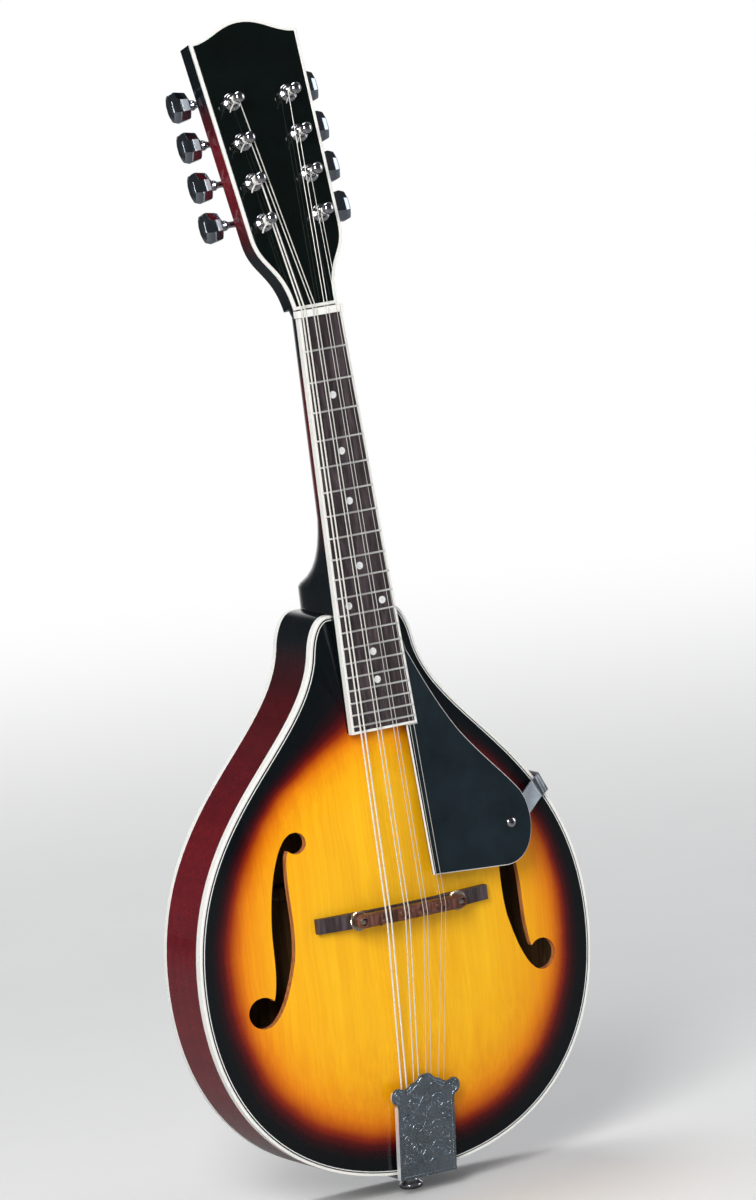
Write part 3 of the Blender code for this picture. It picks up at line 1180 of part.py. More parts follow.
def string_route(number, neck, head, crest_out):
    """One string from its hook over the bridge and the nut, round its post and through it."""
    index = number - 1
    gauge = STRING_GAUGES[index]
    side, post_x, post_up = post_places()[index]
    to_root_neck = neck.matrix_local
    to_root_head = neck.matrix_local @ head.matrix_local

    def rooted(matrix, point):
        here = (matrix @ place(point)) / MM
        return (here.x, -here.y, here.z)

    hook_x = (index - 3.5) * HOOK_SPACING
    hook_out = top_surface(0.0, -HOOK_DOWN) + LOOSE_FIT + BASE_SHEET + HOOK_HEIGHT * 0.55
    points = [(hook_x, hook_out, -HOOK_DOWN + LOOSE_FIT)]
    lift = gauge / 2.0 + 0.15
    pair = index // 2
    shift = (-1.5, 0.6, -1.1, 1.1)[pair]
    bridge_x = STRINGS_AT_BRIDGE[index]
    points.append((bridge_x, crest_out + lift, -BRIDGE_DOWN + shift))
    nut_x = STRINGS_AT_NUT[index]
    front = JOIN_FROM_NUT + GLUE_LINE
    points.append(rooted(to_root_neck, (nut_x, NUT_SLOT_FLOOR + lift, front + 0.3)))
    points.append(rooted(to_root_neck, (nut_x, NUT_SLOT_FLOOR + lift - 0.2, front + NUT_LENGTH)))
    radius = circumscribed(POST_WAIST_RADIUS + WINDING_LIFT + gauge / 2.0, POINTS_PER_TURN)
    pitch = gauge + WINDING_GAP
    if side < 0.0:
        begin = 0.0
        finish = math.radians(15.0) + WINDING_TURNS * math.tau
    else:
        begin = math.pi
        finish = math.radians(75.0) - WINDING_TURNS * math.tau
    sweep = finish - begin
    turns = abs(sweep) / math.tau
    low = STRING_HOLE_HEIGHT - pitch * turns
    count = round(turns * POINTS_PER_TURN)
    coil = []
    for k in range(count + 1):
        share = k / count
        angle = begin + sweep * share
        coil.append(Vector((post_x + radius * math.cos(angle), low + pitch * turns * share,
                            post_up + radius * math.sin(angle))))
    gap = min((a - b).length for i, a in enumerate(coil) for b in coil[i + POINTS_PER_TURN // 2:]) - gauge
    turn = math.copysign(1.0, sweep)
    mouth = math.radians(45.0)
    inward = [(radius * 0.92, finish + turn * math.radians(18.0)), (POST_WAIST_RADIUS * 0.75, mouth),
              (-POST_WAIST_RADIUS, mouth), (-POST_WAIST_RADIUS - TAIL_LENGTH, mouth)]
    coil += [Vector((post_x + r * math.cos(a), STRING_HOLE_HEIGHT, post_up + r * math.sin(a)))
             for r, a in inward]
    points += [rooted(to_root_head, point) for point in coil]
    return gauge, points, gap


def make_strings(root, neck, head, crest_out):
    least = 1e9
    for number in range(1, len(STRING_GAUGES) + 1):
        gauge, points, gap = string_route(number, neck, head, crest_out)
        least = min(least, gap)
        curve = bpy.data.curves.new(f"string_{number}", "CURVE")
        curve.dimensions = "3D"
        curve.bevel_depth = gauge / 2.0 * MM
        curve.bevel_resolution = 1
        curve.use_fill_caps = True
        line = curve.splines.new("POLY")
        line.points.add(len(points) - 1)
        for knot, point in zip(line.points, points):
            knot.co = (*place(point), 1.0)
        piece = bpy.data.objects.new(f"string_{number}", curve)
        bpy.context.collection.objects.link(piece)
        piece.parent = root
        curve.materials.append(finish_of("string_steel"))
    print(f"least gap in a string's winding: {least:.2f} mm")


def main():
    for old in list(bpy.data.objects):
        bpy.data.objects.remove(old)
    root, neck, head = make_frames()
    make_soundboard(root)
    make_rim(root)
    make_back(root)
    make_inner_wood(root)
    bores = make_neck(root, neck, head)
    make_head_face(head, bores)
    make_fretboard(root, neck)
    make_posts(head)
    make_knobs(head)
    make_plates(head)
    crest_out = make_bridge(root, neck)
    make_guard(root, neck)
    make_tailpiece(root)
    make_strings(root, neck, head, crest_out)


main()
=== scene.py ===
"""A-style mandolin with a sunburst top, dressed over its CAD frame.

Every piece is made by one operator of the add-on. Sizes are in millimetres in the body,
neck and headstock frames as (x, out, up): x to the treble side, out of the soundboard and
up to the headstock. They become metres in the meshes.
"""
import math
from functools import partial

import bmesh
import bpy
import numpy as np
from bpy.props import FloatProperty, FloatVectorProperty, IntProperty, PointerProperty
from bpy.types import Operator, Panel, PropertyGroup
from mathutils import Matrix, Vector


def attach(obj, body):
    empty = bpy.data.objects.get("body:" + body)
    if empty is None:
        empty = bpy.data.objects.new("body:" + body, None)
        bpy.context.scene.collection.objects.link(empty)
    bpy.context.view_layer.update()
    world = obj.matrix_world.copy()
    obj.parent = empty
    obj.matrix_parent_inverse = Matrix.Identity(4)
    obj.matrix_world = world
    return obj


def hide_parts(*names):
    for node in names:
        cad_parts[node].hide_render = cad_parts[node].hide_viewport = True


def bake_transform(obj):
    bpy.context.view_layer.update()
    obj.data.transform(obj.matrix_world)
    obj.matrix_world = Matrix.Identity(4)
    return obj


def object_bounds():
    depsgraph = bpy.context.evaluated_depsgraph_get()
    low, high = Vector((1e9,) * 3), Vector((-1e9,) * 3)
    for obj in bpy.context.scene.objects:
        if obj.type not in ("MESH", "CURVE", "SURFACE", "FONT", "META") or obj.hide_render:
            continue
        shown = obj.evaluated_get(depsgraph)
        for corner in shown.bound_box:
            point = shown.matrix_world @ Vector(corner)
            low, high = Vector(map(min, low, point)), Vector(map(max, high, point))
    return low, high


bl_info = {
    "name": "Mandolin",
    "version": (1, 0, 0),
    "blender": (4, 5, 0),
    "location": "View3D > Sidebar > Mandolin",
    "description": "Builds an A-style mandolin piece by piece",
    "category": "Add Mesh",
}

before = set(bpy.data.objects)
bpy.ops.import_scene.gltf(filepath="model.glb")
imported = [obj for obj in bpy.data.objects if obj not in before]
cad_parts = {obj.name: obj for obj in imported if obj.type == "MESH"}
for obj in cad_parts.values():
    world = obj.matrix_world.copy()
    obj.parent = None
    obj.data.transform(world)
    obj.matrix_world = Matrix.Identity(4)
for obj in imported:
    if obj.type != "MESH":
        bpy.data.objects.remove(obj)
CAD_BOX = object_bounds()

MM = 0.001

# Body
BODY_LENGTH = 338.6
BODY_WIDTH = 262.0
BODY_DEPTH = 47.5
WIDEST_DOWN = 207.0
SHOULDER = (34.4, -20.4)
NECK_END = 20.5
ARCH_HEIGHT = 13.0
BURST_REACH = 80.0
SPINE_FROM = 110.0
SPINE_TO = 235.0
TOP_THICKNESS = 4.0
TOP_THICKENING = 0.8
BACK_THICKNESS = 3.0
RIM_THICKNESS = 2.2
LINING_WIDTH = 6.5
LINING_HEIGHT = 8.0
TOP_BINDING_HEIGHT = 5.7
BACK_BINDING_HEIGHT = 4.2
BRACE_PLACES = (90.0, 165.0, 245.0)
BRACE_WIDTH = 9.0
BRACE_HEIGHT = 10.0

# Sound holes on the treble side; the bass side mirrors them
UPPER_EYE = (62.5, -127.8)
UPPER_EYE_RADIUS = 6.4
LOWER_EYE = (94.2, -224.1)
LOWER_EYE_RADIUS = 9.4
WAIST_UP = -184.0
STEM_OUTER_X = 84.0
STEM_INNER_X = 70.6

# Neck, fretboard and headstock
SCALE_LENGTH = 352.4
JOIN_FROM_NUT = SCALE_LENGTH / 2.0
FRET_COUNT = 20
FRET_HALF_WIDTH = 0.62
DOTTED_FRETS = (3, 5, 7, 10, 12, 15, 17)
TWIN_DOTS = 12
BOARD_LENGTH = 246.0
BOARD_THICKNESS = 5.0
BOARD_WIDTHS = (28.6, 43.6)
BOARD_BINDING = 1.6
NECK_ANGLE = math.radians(4.8)
BOARD_RISE = 11.5
NECK_DEPTHS = (14.5, 17.0)
HEEL_LENGTH = 42.0
HEEL_CAP_LENGTH = 15.5
HEAD_ANGLE = math.radians(13.6)
HEAD_DROP = 3.6
HEAD_LENGTH = 178.2
HEAD_CORNER = (35.7, 168.0)
HEAD_SHOULDER = (30.3, 50.0)
HEAD_THICKNESS = 11.5
OVERLAY_THICKNESS = 2.0
HEAD_BINDING = 1.9
NUT_LENGTH = 4.2
NUT_WIDTH = 30.0
NUT_TOP = 2.0
NUT_SLOT_FLOOR = 1.25
GLUE_LINE = 0.25
HANGER_UP = 10.0
HEAD_BACK = -(OVERLAY_THICKNESS + GLUE_LINE + HEAD_THICKNESS)

# Tuners
POST_SPREAD = 37.6
FIRST_POST_UP = 55.1
POST_PITCH = 24.8
POST_RADIUS = 2.9
POST_WAIST_RADIUS = 1.9
FERRULE_BORE_RADIUS = 4.35
PLATE_HOLE_RADIUS = 3.2
EAR_BORE_RADIUS = 1.72
FLANK_SHARE = 1.45
POST_TOP = 13.0
POST_CAP_FLOOR = 8.6
STRING_HOLE_UP = 7.4
PLATE_THICKNESS = 1.1
PLATE_WIDTH = 12.0
PLATE_BACK = HEAD_BACK - GLUE_LINE - PLATE_THICKNESS
GEAR_TEETH = 14
THREAD_PITCH = 1.75
GEAR_THICKNESS = 2.8
TOOTH_SHARE = 0.36
TOOTH_ADDENDUM = 0.5
TOOTH_DEDENDUM = 0.66
WORM_RADIUS = 2.3
WORM_TURNS = 3
GEAR_LEVEL = PLATE_BACK - 1.2 - WORM_RADIUS - TOOTH_ADDENDUM
GEAR_RADIUS = GEAR_TEETH * THREAD_PITCH / math.tau
WORM_OFFSET = GEAR_RADIUS + WORM_RADIUS
WORM_HALF = THREAD_PITCH * ((WORM_TURNS + 1) / 2.0 + TOOTH_SHARE * FLANK_SHARE / 2.0)
EAR_THICKNESS = 1.3
EAR_WIDTH = 5.6
SHAFT_RADIUS = 1.6
BUTTON_FROM_CENTRE = {-1.0: 43.2, 1.0: 41.0}
BUTTON_LENGTH = 14.4
BUTTON_WIDTH = 19.2
BUTTON_THICKNESS = 10.0

# Bridge
BRIDGE_UP = -178.6
BRIDGE_LENGTH = 115.0
BRIDGE_TOP = 17.4
BRIDGE_END_TOP = 13.4
SADDLE_LENGTH = 73.0
SADDLE_WIDTH = 8.0
STUD_SPREAD = 66.0
STUD_PITCH = 0.7
STUD_RADIUS = 1.95
WHEEL_RADIUS = 6.0
WHEEL_THICKNESS = 1.8
WHEEL_LOW = BRIDGE_TOP + 1.1
SADDLE_LOW = WHEEL_LOW + WHEEL_THICKNESS + 0.3
STUD_TOP = SADDLE_LOW + 5.0

# Pickguard
GUARD_TOP = -1.8
GUARD_THICKNESS = 2.4
GUARD_SCREW = (74.2, -139.3)
GUARD_BORE_RADIUS = 1.7
BRACKET_WIDTH = 12.0
BRACKET_THICKNESS = 1.2
BRACKET_DIRECTION = math.radians(-25.5)
BRACKET_SIDE_LEG = 17.0

# Tailpiece
BASE_WIDTH = 34.0
BASE_SHEET = 1.5
HOOK_UP = -311.0
HOOK_SPACING = 3.7
COVER_SHEET = 1.0
RELIEF_OUT = COVER_SHEET + 0.02
COVER_HALF_WIDTH = 19.0
COVER_SIDE_LENGTH = 46.0
COVER_PEAK_LENGTH = 64.0
COVER_FLANGE = 3.2
COVER_END_RISE = 6.0
COVER_SLOPE = math.radians(8.9)
END_PIN_OUT = -17.5
END_PIN_BORE_RADIUS = 4.15
BASE_GAP = 0.3

# Strings from the bass side: gauges, places across nut and bridge, shifts at the saddle
STRING_GAUGES = (1.0, 1.0, 0.66, 0.66, 0.42, 0.42, 0.3, 0.3)
STRING_RISE = 3.3
WOUND_FROM = 0.5
WRAP_PITCH = 0.42
STRINGS_AT_NUT = (-12.6, -10.3, -5.0, -2.9, 2.9, 5.0, 10.3, 12.6)
STRINGS_AT_BRIDGE = (-20.0, -17.2, -7.4, -4.8, 4.8, 7.4, 17.2, 20.0)
COMPENSATION = (-1.5, 0.6, -1.1, 1.1)


# Frames and points

def shifted(x, out, up):
    return Matrix.Translation(Vector((x, -out, up)) * MM)


def make_frames():
    """Body, neck, headstock and tailpiece frames, with the hanger's place at the origin."""
    neck = shifted(0.0, BOARD_RISE, 0.0) @ Matrix.Rotation(-NECK_ANGLE, 4, "X")
    head = (neck @ shifted(0.0, -HEAD_DROP, JOIN_FROM_NUT + NUT_LENGTH + 2.0 * GLUE_LINE)
            @ Matrix.Rotation(-HEAD_ANGLE, 4, "X"))
    hanger = (head @ shifted(0.0, HEAD_BACK / 2.0, HANGER_UP)).translation
    body = Matrix.Translation(-hanger)
    cover = (body @ shifted(0.0, COVER_END_RISE, -BODY_LENGTH - BASE_GAP - BASE_SHEET)
             @ Matrix.Rotation(COVER_SLOPE, 4, "X"))
    return body, body @ neck, body @ head, cover


BODY, NECK, HEAD, COVER = make_frames()


def placed(where, point):
    return where @ (Vector((point[0], -point[1], point[2])) * MM)


def between(where_from, where_to, point):
    """A point of one frame, as (x, out, up) of another."""
    here = where_to.inverted() @ placed(where_from, point) / MM
    return (here.x, -here.y, here.z)


# Outlines

def curve(start, *spans):
    """Points on joined cubic spans of (handle, handle, end, steps), without the last one."""
    found = []
    for first, second, end, steps in spans:
        for step in range(steps):
            t = step / steps
            u = 1.0 - t
            weights = (u * u * u, 3 * u * u * t, 3 * u * t * t, t * t * t)
            found.append(tuple(sum(w * p[axis] for w, p in zip(weights, (start, first, second, end)))
                               for axis in (0, 1)))
        start = end
    return found


def circle(centre, radius, count, start=0.0):
    return [(centre[0] + radius * math.cos(start + math.tau * k / count),
             centre[1] + radius * math.sin(start + math.tau * k / count)) for k in range(count)]


def mirrored(half):
    """Closes the right-hand half of an outline with its mirror image."""
    return half + [(-x, up) for x, up in reversed(half) if abs(x) > 1e-6]


def inset(outline, depth):
    """A closed outline moved inward by the depth, all round."""
    points = [Vector(point) for point in outline]
    turn = sum(a.x * b.y - b.x * a.y for a, b in zip(points, points[1:] + points[:1]))
    sign = 1.0 if turn > 0.0 else -1.0
    found = []
    for k, here in enumerate(points):
        before = (here - points[k - 1]).normalized()
        after = (points[(k + 1) % len(points)] - here).normalized()
        normal_a = Vector((-before.y, before.x)) * sign
        normal_b = Vector((-after.y, after.x)) * sign
        step = (normal_a + normal_b) * (depth / (1.0 + normal_a.dot(normal_b)))
        found.append((here.x + step.x, here.y + step.y))
    return found


def body_outline():
    """The body seen from the front, clockwise, with up = 0 at the neck joint."""
    wide = BODY_WIDTH / 2.0
    lean = math.radians(8.6)
    pull = 55.0
    half = [(0.0, 0.0), (NECK_END * 0.5, 0.0)]
    half += curve(
        (NECK_END, 0.0), ((NECK_END + 8.5, 0.0), (SHOULDER[0] - 1.2, SHOULDER[1] + 8.0), SHOULDER, 12),
        ((SHOULDER[0] + pull * math.sin(lean), SHOULDER[1] - pull * math.cos(lean)),
         (wide, -WIDEST_DOWN + wide * 0.8), (wide, -WIDEST_DOWN), 33),
        ((wide, -WIDEST_DOWN - (BODY_LENGTH - WIDEST_DOWN) * 0.615), (wide * 0.615, -BODY_LENGTH),
         (0.0, -BODY_LENGTH), 33))
    half.append((0.0, -BODY_LENGTH))
    return mirrored(half)


def head_outline():
    """The headstock seen from its face, clockwise, as (x, up) from the nut."""
    foot = NUT_WIDTH / 2.0 - 0.6
    shoulder, level = HEAD_SHOULDER
    corner, corner_up = HEAD_CORNER
    half = [(0.0, HEAD_LENGTH)]
    half += curve((0.0, HEAD_LENGTH), ((corner * 0.42, HEAD_LENGTH), (corner * 0.62, corner_up + 0.5),
                                       HEAD_CORNER, 24))[1:-2]
    half += [(corner + (shoulder - corner) * t, corner_up + (level - corner_up) * t)
             for t in (0.0, 0.06, 0.12, 0.25, 0.5, 0.75, 0.98)]
    half += curve(HEAD_SHOULDER, ((shoulder - 0.3, level - 12.0), (shoulder - 3.5, level - 16.0),
                                  (22.0, 26.5), 15), ((18.0, 20.0), (foot + 0.6, 14.0), (foot, 0.5), 15))
    return mirrored(half + [(foot, 0.5)])


OUTLINE = body_outline()


def reach_share(x, up):
    """How far points lie from the arch's spine, as shares of the way to the edge."""
    x = np.abs(np.asarray(x, float))
    up = np.asarray(up, float)
    spine = np.clip(up, -SPINE_TO, -SPINE_FROM)
    way = np.stack([x, up - spine], -1)
    length = np.linalg.norm(way, axis=-1)
    way = way / np.maximum(length, 1e-9)[..., None]
    edge = np.array(OUTLINE)
    start = edge[None, :, :] - np.stack([np.zeros_like(spine), spine], -1)[:, None, :]
    side = (np.roll(edge, -1, axis=0) - edge)[None, :, :]
    cross = way[:, None, 0] * side[..., 1] - way[:, None, 1] * side[..., 0]
    cross = np.where(np.abs(cross) < 1e-12, 1e-12, cross)
    along = (start[..., 0] * side[..., 1] - start[..., 1] * side[..., 0]) / cross
    part = (start[..., 0] * way[:, None, 1] - start[..., 1] * way[:, None, 0]) / cross
    good = (along > 1e-6) & (part >= -1e-6) & (part <= 1.0 + 1e-6)
    nearest = np.where(good, along, 1e9).min(axis=1)
    return np.clip(length / nearest, 0.0, 1.0)


def arch_height(x, up, height=ARCH_HEIGHT):
    """Height of the arched top over the plane of its edge."""
    share = reach_share(np.atleast_1d(x), np.atleast_1d(up))
    found = height * (1.0 - share ** 2) ** 1.5
    return found if np.ndim(x) else float(found[0])


def edge_distance(x, up):
    """Shortest way to the body's outline."""
    point = np.stack([np.asarray(x, float), np.asarray(up, float)], -1)[:, None, :]
    edge = np.array(OUTLINE)
    start = edge[None, :, :]
    side = np.roll(edge, -1, axis=0)[None, :, :] - start
    t = ((point - start) * side).sum(-1) / np.maximum((side ** 2).sum(-1), 1e-12)
    nearest = start + side * np.clip(t, 0.0, 1.0)[..., None]
    return np.linalg.norm(point - nearest, axis=-1).min(axis=1)


def board_half_width(from_nut):
    return (BOARD_WIDTHS[0] + (BOARD_WIDTHS[1] - BOARD_WIDTHS[0]) * from_nut / BOARD_LENGTH) / 2.0


def fret_place(number):
    return SCALE_LENGTH * (1.0 - 2.0 ** (-number / 12.0))


def post_places():
    """Side and place of each post on the headstock: bass side from the nut up, then down."""
    rows = [FIRST_POST_UP + row * POST_PITCH for row in range(4)]
    return [(-1.0, -POST_SPREAD / 2.0, up) for up in rows] + [
        (1.0, POST_SPREAD / 2.0, up) for up in reversed(rows)]


# Meshes

def lofted(loops, closed=False):
    """Points and faces through equal loops, capped at both ends or joined round."""
    size = len(loops[0])
    points = [point for loop in loops for point in loop]
    faces = []
    for row in range(len(loops) if closed else len(loops) - 1):
        low = row * size
        high = ((row + 1) % len(loops)) * size
        faces += [(low + k, low + (k + 1) % size, high + (k + 1) % size, high + k) for k in range(size)]
    if not closed:
        faces.append(tuple(range(size)))
        faces.append(tuple(range((len(loops) - 1) * size, len(loops) * size)))
    return points, faces


def slab(outline, low, high):
    """A plate seen from the front, between two heights."""
    return lofted([[(x, low, up) for x, up in outline], [(x, high, up) for x, up in outline]])


def across(outline, left, right):
    """A profile in (up, out), drawn out from left to right."""
    return lofted([[(x, out, up) for up, out in outline] for x in (left, right)])


def turned(profile, count, axis="out", at=(0.0, 0.0, 0.0), closed=False):
    """A turned piece from (radius, height) pairs about the out, up or x axis."""
    loops = []
    for radius, height in profile:
        ring = circle((0.0, 0.0), radius, count)
        if axis == "out":
            loops.append([(at[0] + a, at[1] + height, at[2] + b) for a, b in ring])
        elif axis == "up":
            loops.append([(at[0] + a, at[1] + b, at[2] + height) for a, b in ring])
        else:
            loops.append([(at[0] + height, at[1] + a, at[2] + b) for a, b in ring])
    return lofted(loops, closed)


def rod(radius, low, high, count, axis="out", at=(0.0, 0.0, 0.0)):
    return turned([(radius, low), (radius, high)], count, axis, at)


def hoop(outline, profile):
    """A hoop round an outline from a closed profile of (inset, height) pairs."""
    return lofted([[(x, out, up) for x, up in inset(outline, depth)] for depth, out in profile], True)


def gathered(parts):
    """Several sets of points and faces as one."""
    points, faces = [], []
    for more, ring in parts:
        base = len(points)
        points += more
        faces += [tuple(base + k for k in face) for face in ring]
    return points, faces


def tube(path, radius, sides):
    """A round wire along a path, with closed ends; radius may be one number or one a point."""
    path = [Vector(point) for point in path]
    radii = radius if isinstance(radius, (list, tuple)) else [radius] * len(path)
    loops = []
    side = None
    for k, here in enumerate(path):
        ahead = (path[min(k + 1, len(path) - 1)] - path[max(k - 1, 0)]).normalized()
        if side is None:
            side = ahead.orthogonal().normalized()
        side = (side - ahead * side.dot(ahead)).normalized()
        other = ahead.cross(side)
        loops.append([tuple(here + (side * math.cos(a) + other * math.sin(a)) * radii[k])
                      for a in (math.tau * j / sides for j in range(sides))])
    return lofted(loops)


def smooth_path(points, steps):
    """A rounded path through points, with the given number of steps between two of them."""
    path = [Vector(point) for point in points]
    found = []
    for k in range(len(path) - 1):
        before, here, there, after = (path[max(k - 1, 0)], path[k], path[k + 1],
                                      path[min(k + 2, len(path) - 1)])
        for step in range(steps):
            t = step / steps
            found.append(0.5 * (2.0 * here + (there - before) * t
                                + (2.0 * before - 5.0 * here + 4.0 * there - after) * t * t
                                + (3.0 * here - before - 3.0 * there + after) * t ** 3))
    return [tuple(point) for point in found + [path[-1]]]


def mesh_in(name, where, shape, smooth=35.0):
    """A mesh in world metres from a frame's points and faces, its faces turned outward."""
    points, faces = shape
    work = bmesh.new()
    corners = [work.verts.new(placed(where, point)) for point in points]
    for face in faces:
        work.faces.new([corners[k] for k in face])
    bmesh.ops.recalc_face_normals(work, faces=work.faces)
    mesh = bpy.data.meshes.new(name)
    work.to_mesh(mesh)
    work.free()
    shade(mesh, smooth)
    return mesh


def shade(mesh, angle):
    """Smooth faces, with the edges that turn by more than the angle kept sharp."""
    mesh.shade_smooth()
    mesh.set_sharp_from_angle(angle=math.radians(angle))


def object_from(name, mesh, finish):
    piece = bpy.data.objects.new(name, mesh)
    bpy.context.collection.objects.link(piece)
    if finish is not None:
        mesh.materials.append(finish)
    return piece


def soften(piece, width, segments=2, angle=30.0):
    """Rounds the hard edges of a piece, for their highlights."""
    bevel = piece.modifiers.new("soft_edges", "BEVEL")
    bevel.width = width * MM
    bevel.segments = segments
    bevel.limit_method = "ANGLE"
    bevel.angle_limit = math.radians(angle)
    bevel.harden_normals = True


def settle(piece):
    """Applies the modifiers of a piece to its mesh."""
    bpy.context.view_layer.update()
    found = bpy.data.meshes.new_from_object(piece.evaluated_get(bpy.context.evaluated_depsgraph_get()))
    piece.modifiers.clear()
    piece.data = found


def carve(piece, where, shapes, finish=None, operation="DIFFERENCE"):
    """Cuts or joins closed shapes, one after the other, and applies the result."""
    tools = []
    for shape in shapes:
        tool = object_from("carving_tool", mesh_in("carving_tool", where, shape, 60.0), finish)
        change = piece.modifiers.new("carve", "BOOLEAN")
        change.operation = operation
        change.solver = "EXACT"
        change.object = tool
        if finish is not None:
            change.material_mode = "TRANSFER"
        tools.append(tool)
    settle(piece)
    for tool in tools:
        bpy.data.objects.remove(tool)


def finish_piece(piece, node, body="body", main=False):
    """Every piece rides on its body, and the main piece stands for the node."""
    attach(piece, body)
    if main:
        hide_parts(node)
    return piece


def formed(name, where, shape, finish, smooth=35.0):
    """A piece's first mesh, before it is carved, softened and finished."""
    return object_from(name, mesh_in(name, where, shape, smooth), surface(finish))


def make(name, where, shape, finish, node, body="body", main=False, smooth=35.0, soft=0.0):
    """A whole piece from its points and faces."""
    piece = formed(name, where, shape, finish, smooth)
    if soft:
        soften(piece, soft)
    return finish_piece(piece, node, body, main)


# Shader nodes

def join(tree, value, socket):
    """Feeds an input from another node, or sets its plain value."""
    if isinstance(value, bpy.types.NodeSocket):
        tree.links.new(value, socket)
    else:
        socket.default_value = value


def put(tree, kind, inputs=None, **choices):
    """Adds a node, sets or joins its inputs, and returns it."""
    node = tree.nodes.new("ShaderNode" + kind)
    for name, value in choices.items():
        setattr(node, name, value)
    for name, value in (inputs or {}).items():
        join(tree, value, node.inputs[name])
    return node


def place_of(tree):
    return put(tree, "TexCoord").outputs["Object"]


def sum_of(tree, operation, one, two=0.0, three=0.0):
    return put(tree, "Math", {0: one, 1: two, 2: three}, operation=operation).outputs[0]


def vector(tree, operation, one, two):
    return put(tree, "VectorMath", {0: one, 1: two}, operation=operation).outputs[0]


def noise(tree, place, scale, detail=2.0, **more):
    return put(tree, "TexNoise", {"Vector": place, "Scale": scale, "Detail": detail, **more}).outputs


def spread(tree, value, low, high, to_low=0.0, to_high=1.0, ease="SMOOTHSTEP"):
    """A value carried from one range into another."""
    return put(tree, "MapRange", {"Value": value, "From Min": low, "From Max": high, "To Min": to_low,
                                  "To Max": to_high}, interpolation_type=ease).outputs["Result"]


def mixed(tree, share, one, two, blend="MIX"):
    node = put(tree, "Mix", {0: share, 6: one, 7: two}, data_type="RGBA", blend_type=blend)
    return node.outputs[2]


def tinted(tree, colour, tint, share, value, low=0.1, high=0.9):
    """A colour multiplied by a tint, up to a share of it where the value is high."""
    return mixed(tree, spread(tree, value, low, high, 0.0, share), colour, (*tint, 1.0), "MULTIPLY")


def clouded(tree, value, scale, amount):
    """A value pushed up and down a little by soft clouds."""
    cloud = noise(tree, place_of(tree), scale, 3.0)["Fac"]
    return sum_of(tree, "MULTIPLY_ADD", sum_of(tree, "SUBTRACT", cloud, 0.5), amount, value)


def ramp(tree, value, stops):
    """A colour ramp from (place, colour) pairs."""
    node = put(tree, "ValToRGB", {"Fac": value})
    marks = node.color_ramp.elements
    for mark, (place, colour) in ((marks[0], stops[0]), (marks[-1], stops[-1])):
        mark.position = place
        mark.color = (*colour, 1.0)
    for place, colour in stops[1:-1]:
        marks.new(place).color = (*colour, 1.0)
    return node.outputs["Color"]


def new_group(name, inputs, outputs):
    """A node group with named inputs and their defaults; only Colour is a colour."""
    tree = bpy.data.node_groups.new(name, "ShaderNodeTree")
    for side, labels in (("INPUT", inputs), ("OUTPUT", outputs)):
        for label in labels:
            kind = "NodeSocketColor" if label == "Colour" else "NodeSocketFloat"
            socket = tree.interface.new_socket(name=label, in_out=side, socket_type=kind)
            if side == "INPUT":
                socket.default_value = inputs[label]
    return tree, tree.nodes.new("NodeGroupInput").outputs, tree.nodes.new("NodeGroupOutput").inputs


def grain_group(name):
    """Streaks and pores that run along the piece's up axis."""
    tree, given, out = new_group(name, {"Across": 700.0, "Along": 8.0, "Pore Size": 2400.0, "Shift": 0.0},
                                 ("Streaks", "Bands", "Pores"))
    point = place_of(tree)
    wander = vector(tree, "MULTIPLY", noise(tree, point, 14.0)["Color"], (0.006, 0.006, 0.0))
    point = vector(tree, "ADD", vector(tree, "ADD", point, wander), given["Shift"])
    for label, wide, long, share, stretch, detail, rough, low in (
            ("Streaks", "Across", "Along", 1.0, 1.0, 3.0, 0.6, 0.3),
            ("Bands", "Across", "Along", 0.14, 0.14, 2.0, 0.6, 0.3),
            ("Pores", "Pore Size", "Pore Size", 1.0, 0.05, 2.0, 0.5, 0.58)):
        across = sum_of(tree, "MULTIPLY", given[wide], share)
        along = sum_of(tree, "MULTIPLY", given[long], stretch)
        size = put(tree, "CombineXYZ", {"X": across, "Y": across, "Z": along}).outputs[0]
        found = noise(tree, vector(tree, "MULTIPLY", point, size), 1.0, detail, Roughness=rough)["Fac"]
        join(tree, spread(tree, found, low, 0.7), out[label])
    return tree


def polish_group(name):
    """Faint wipe marks, dust and ripple of a polished surface."""
    tree, given, out = new_group(name, {"Scale": 30.0, "Smooth": 0.1, "Marked": 0.25},
                                 ("Roughness", "Ripple"))
    point = place_of(tree)
    wipes = noise(tree, point, given["Scale"], 4.0, Roughness=0.62, Distortion=0.8)["Fac"]
    specks = noise(tree, point, sum_of(tree, "MULTIPLY", given["Scale"], 22.0))["Fac"]
    marks = sum_of(tree, "MULTIPLY_ADD", spread(tree, specks, 0.55, 0.75), 0.35,
                   spread(tree, wipes, 0.38, 0.72))
    join(tree, spread(tree, marks, 0.0, 1.35, given["Smooth"], given["Marked"], "LINEAR"), out["Roughness"])
    ripple = noise(tree, point, sum_of(tree, "MULTIPLY", given["Scale"], 3.0), 1.0)["Fac"]
    join(tree, ripple, out["Ripple"])
    return tree


def shade_group(name):
    """One colour lightened and darkened a little over the surface."""
    tree, given, out = new_group(name, {"Colour": (0.5, 0.5, 0.5, 1.0), "Scale": 25.0, "Darker": 0.85,
                                        "Lighter": 1.1}, ("Colour",))
    patch = noise(tree, place_of(tree), given["Scale"], 5.0, Roughness=0.65)["Fac"]
    level = spread(tree, patch, 0.3, 0.7, given["Darker"], given["Lighter"], "LINEAR")
    shade = put(tree, "VectorMath", {0: given["Colour"], "Scale": level}, operation="SCALE").outputs[0]
    join(tree, shade, out["Colour"])
    return tree


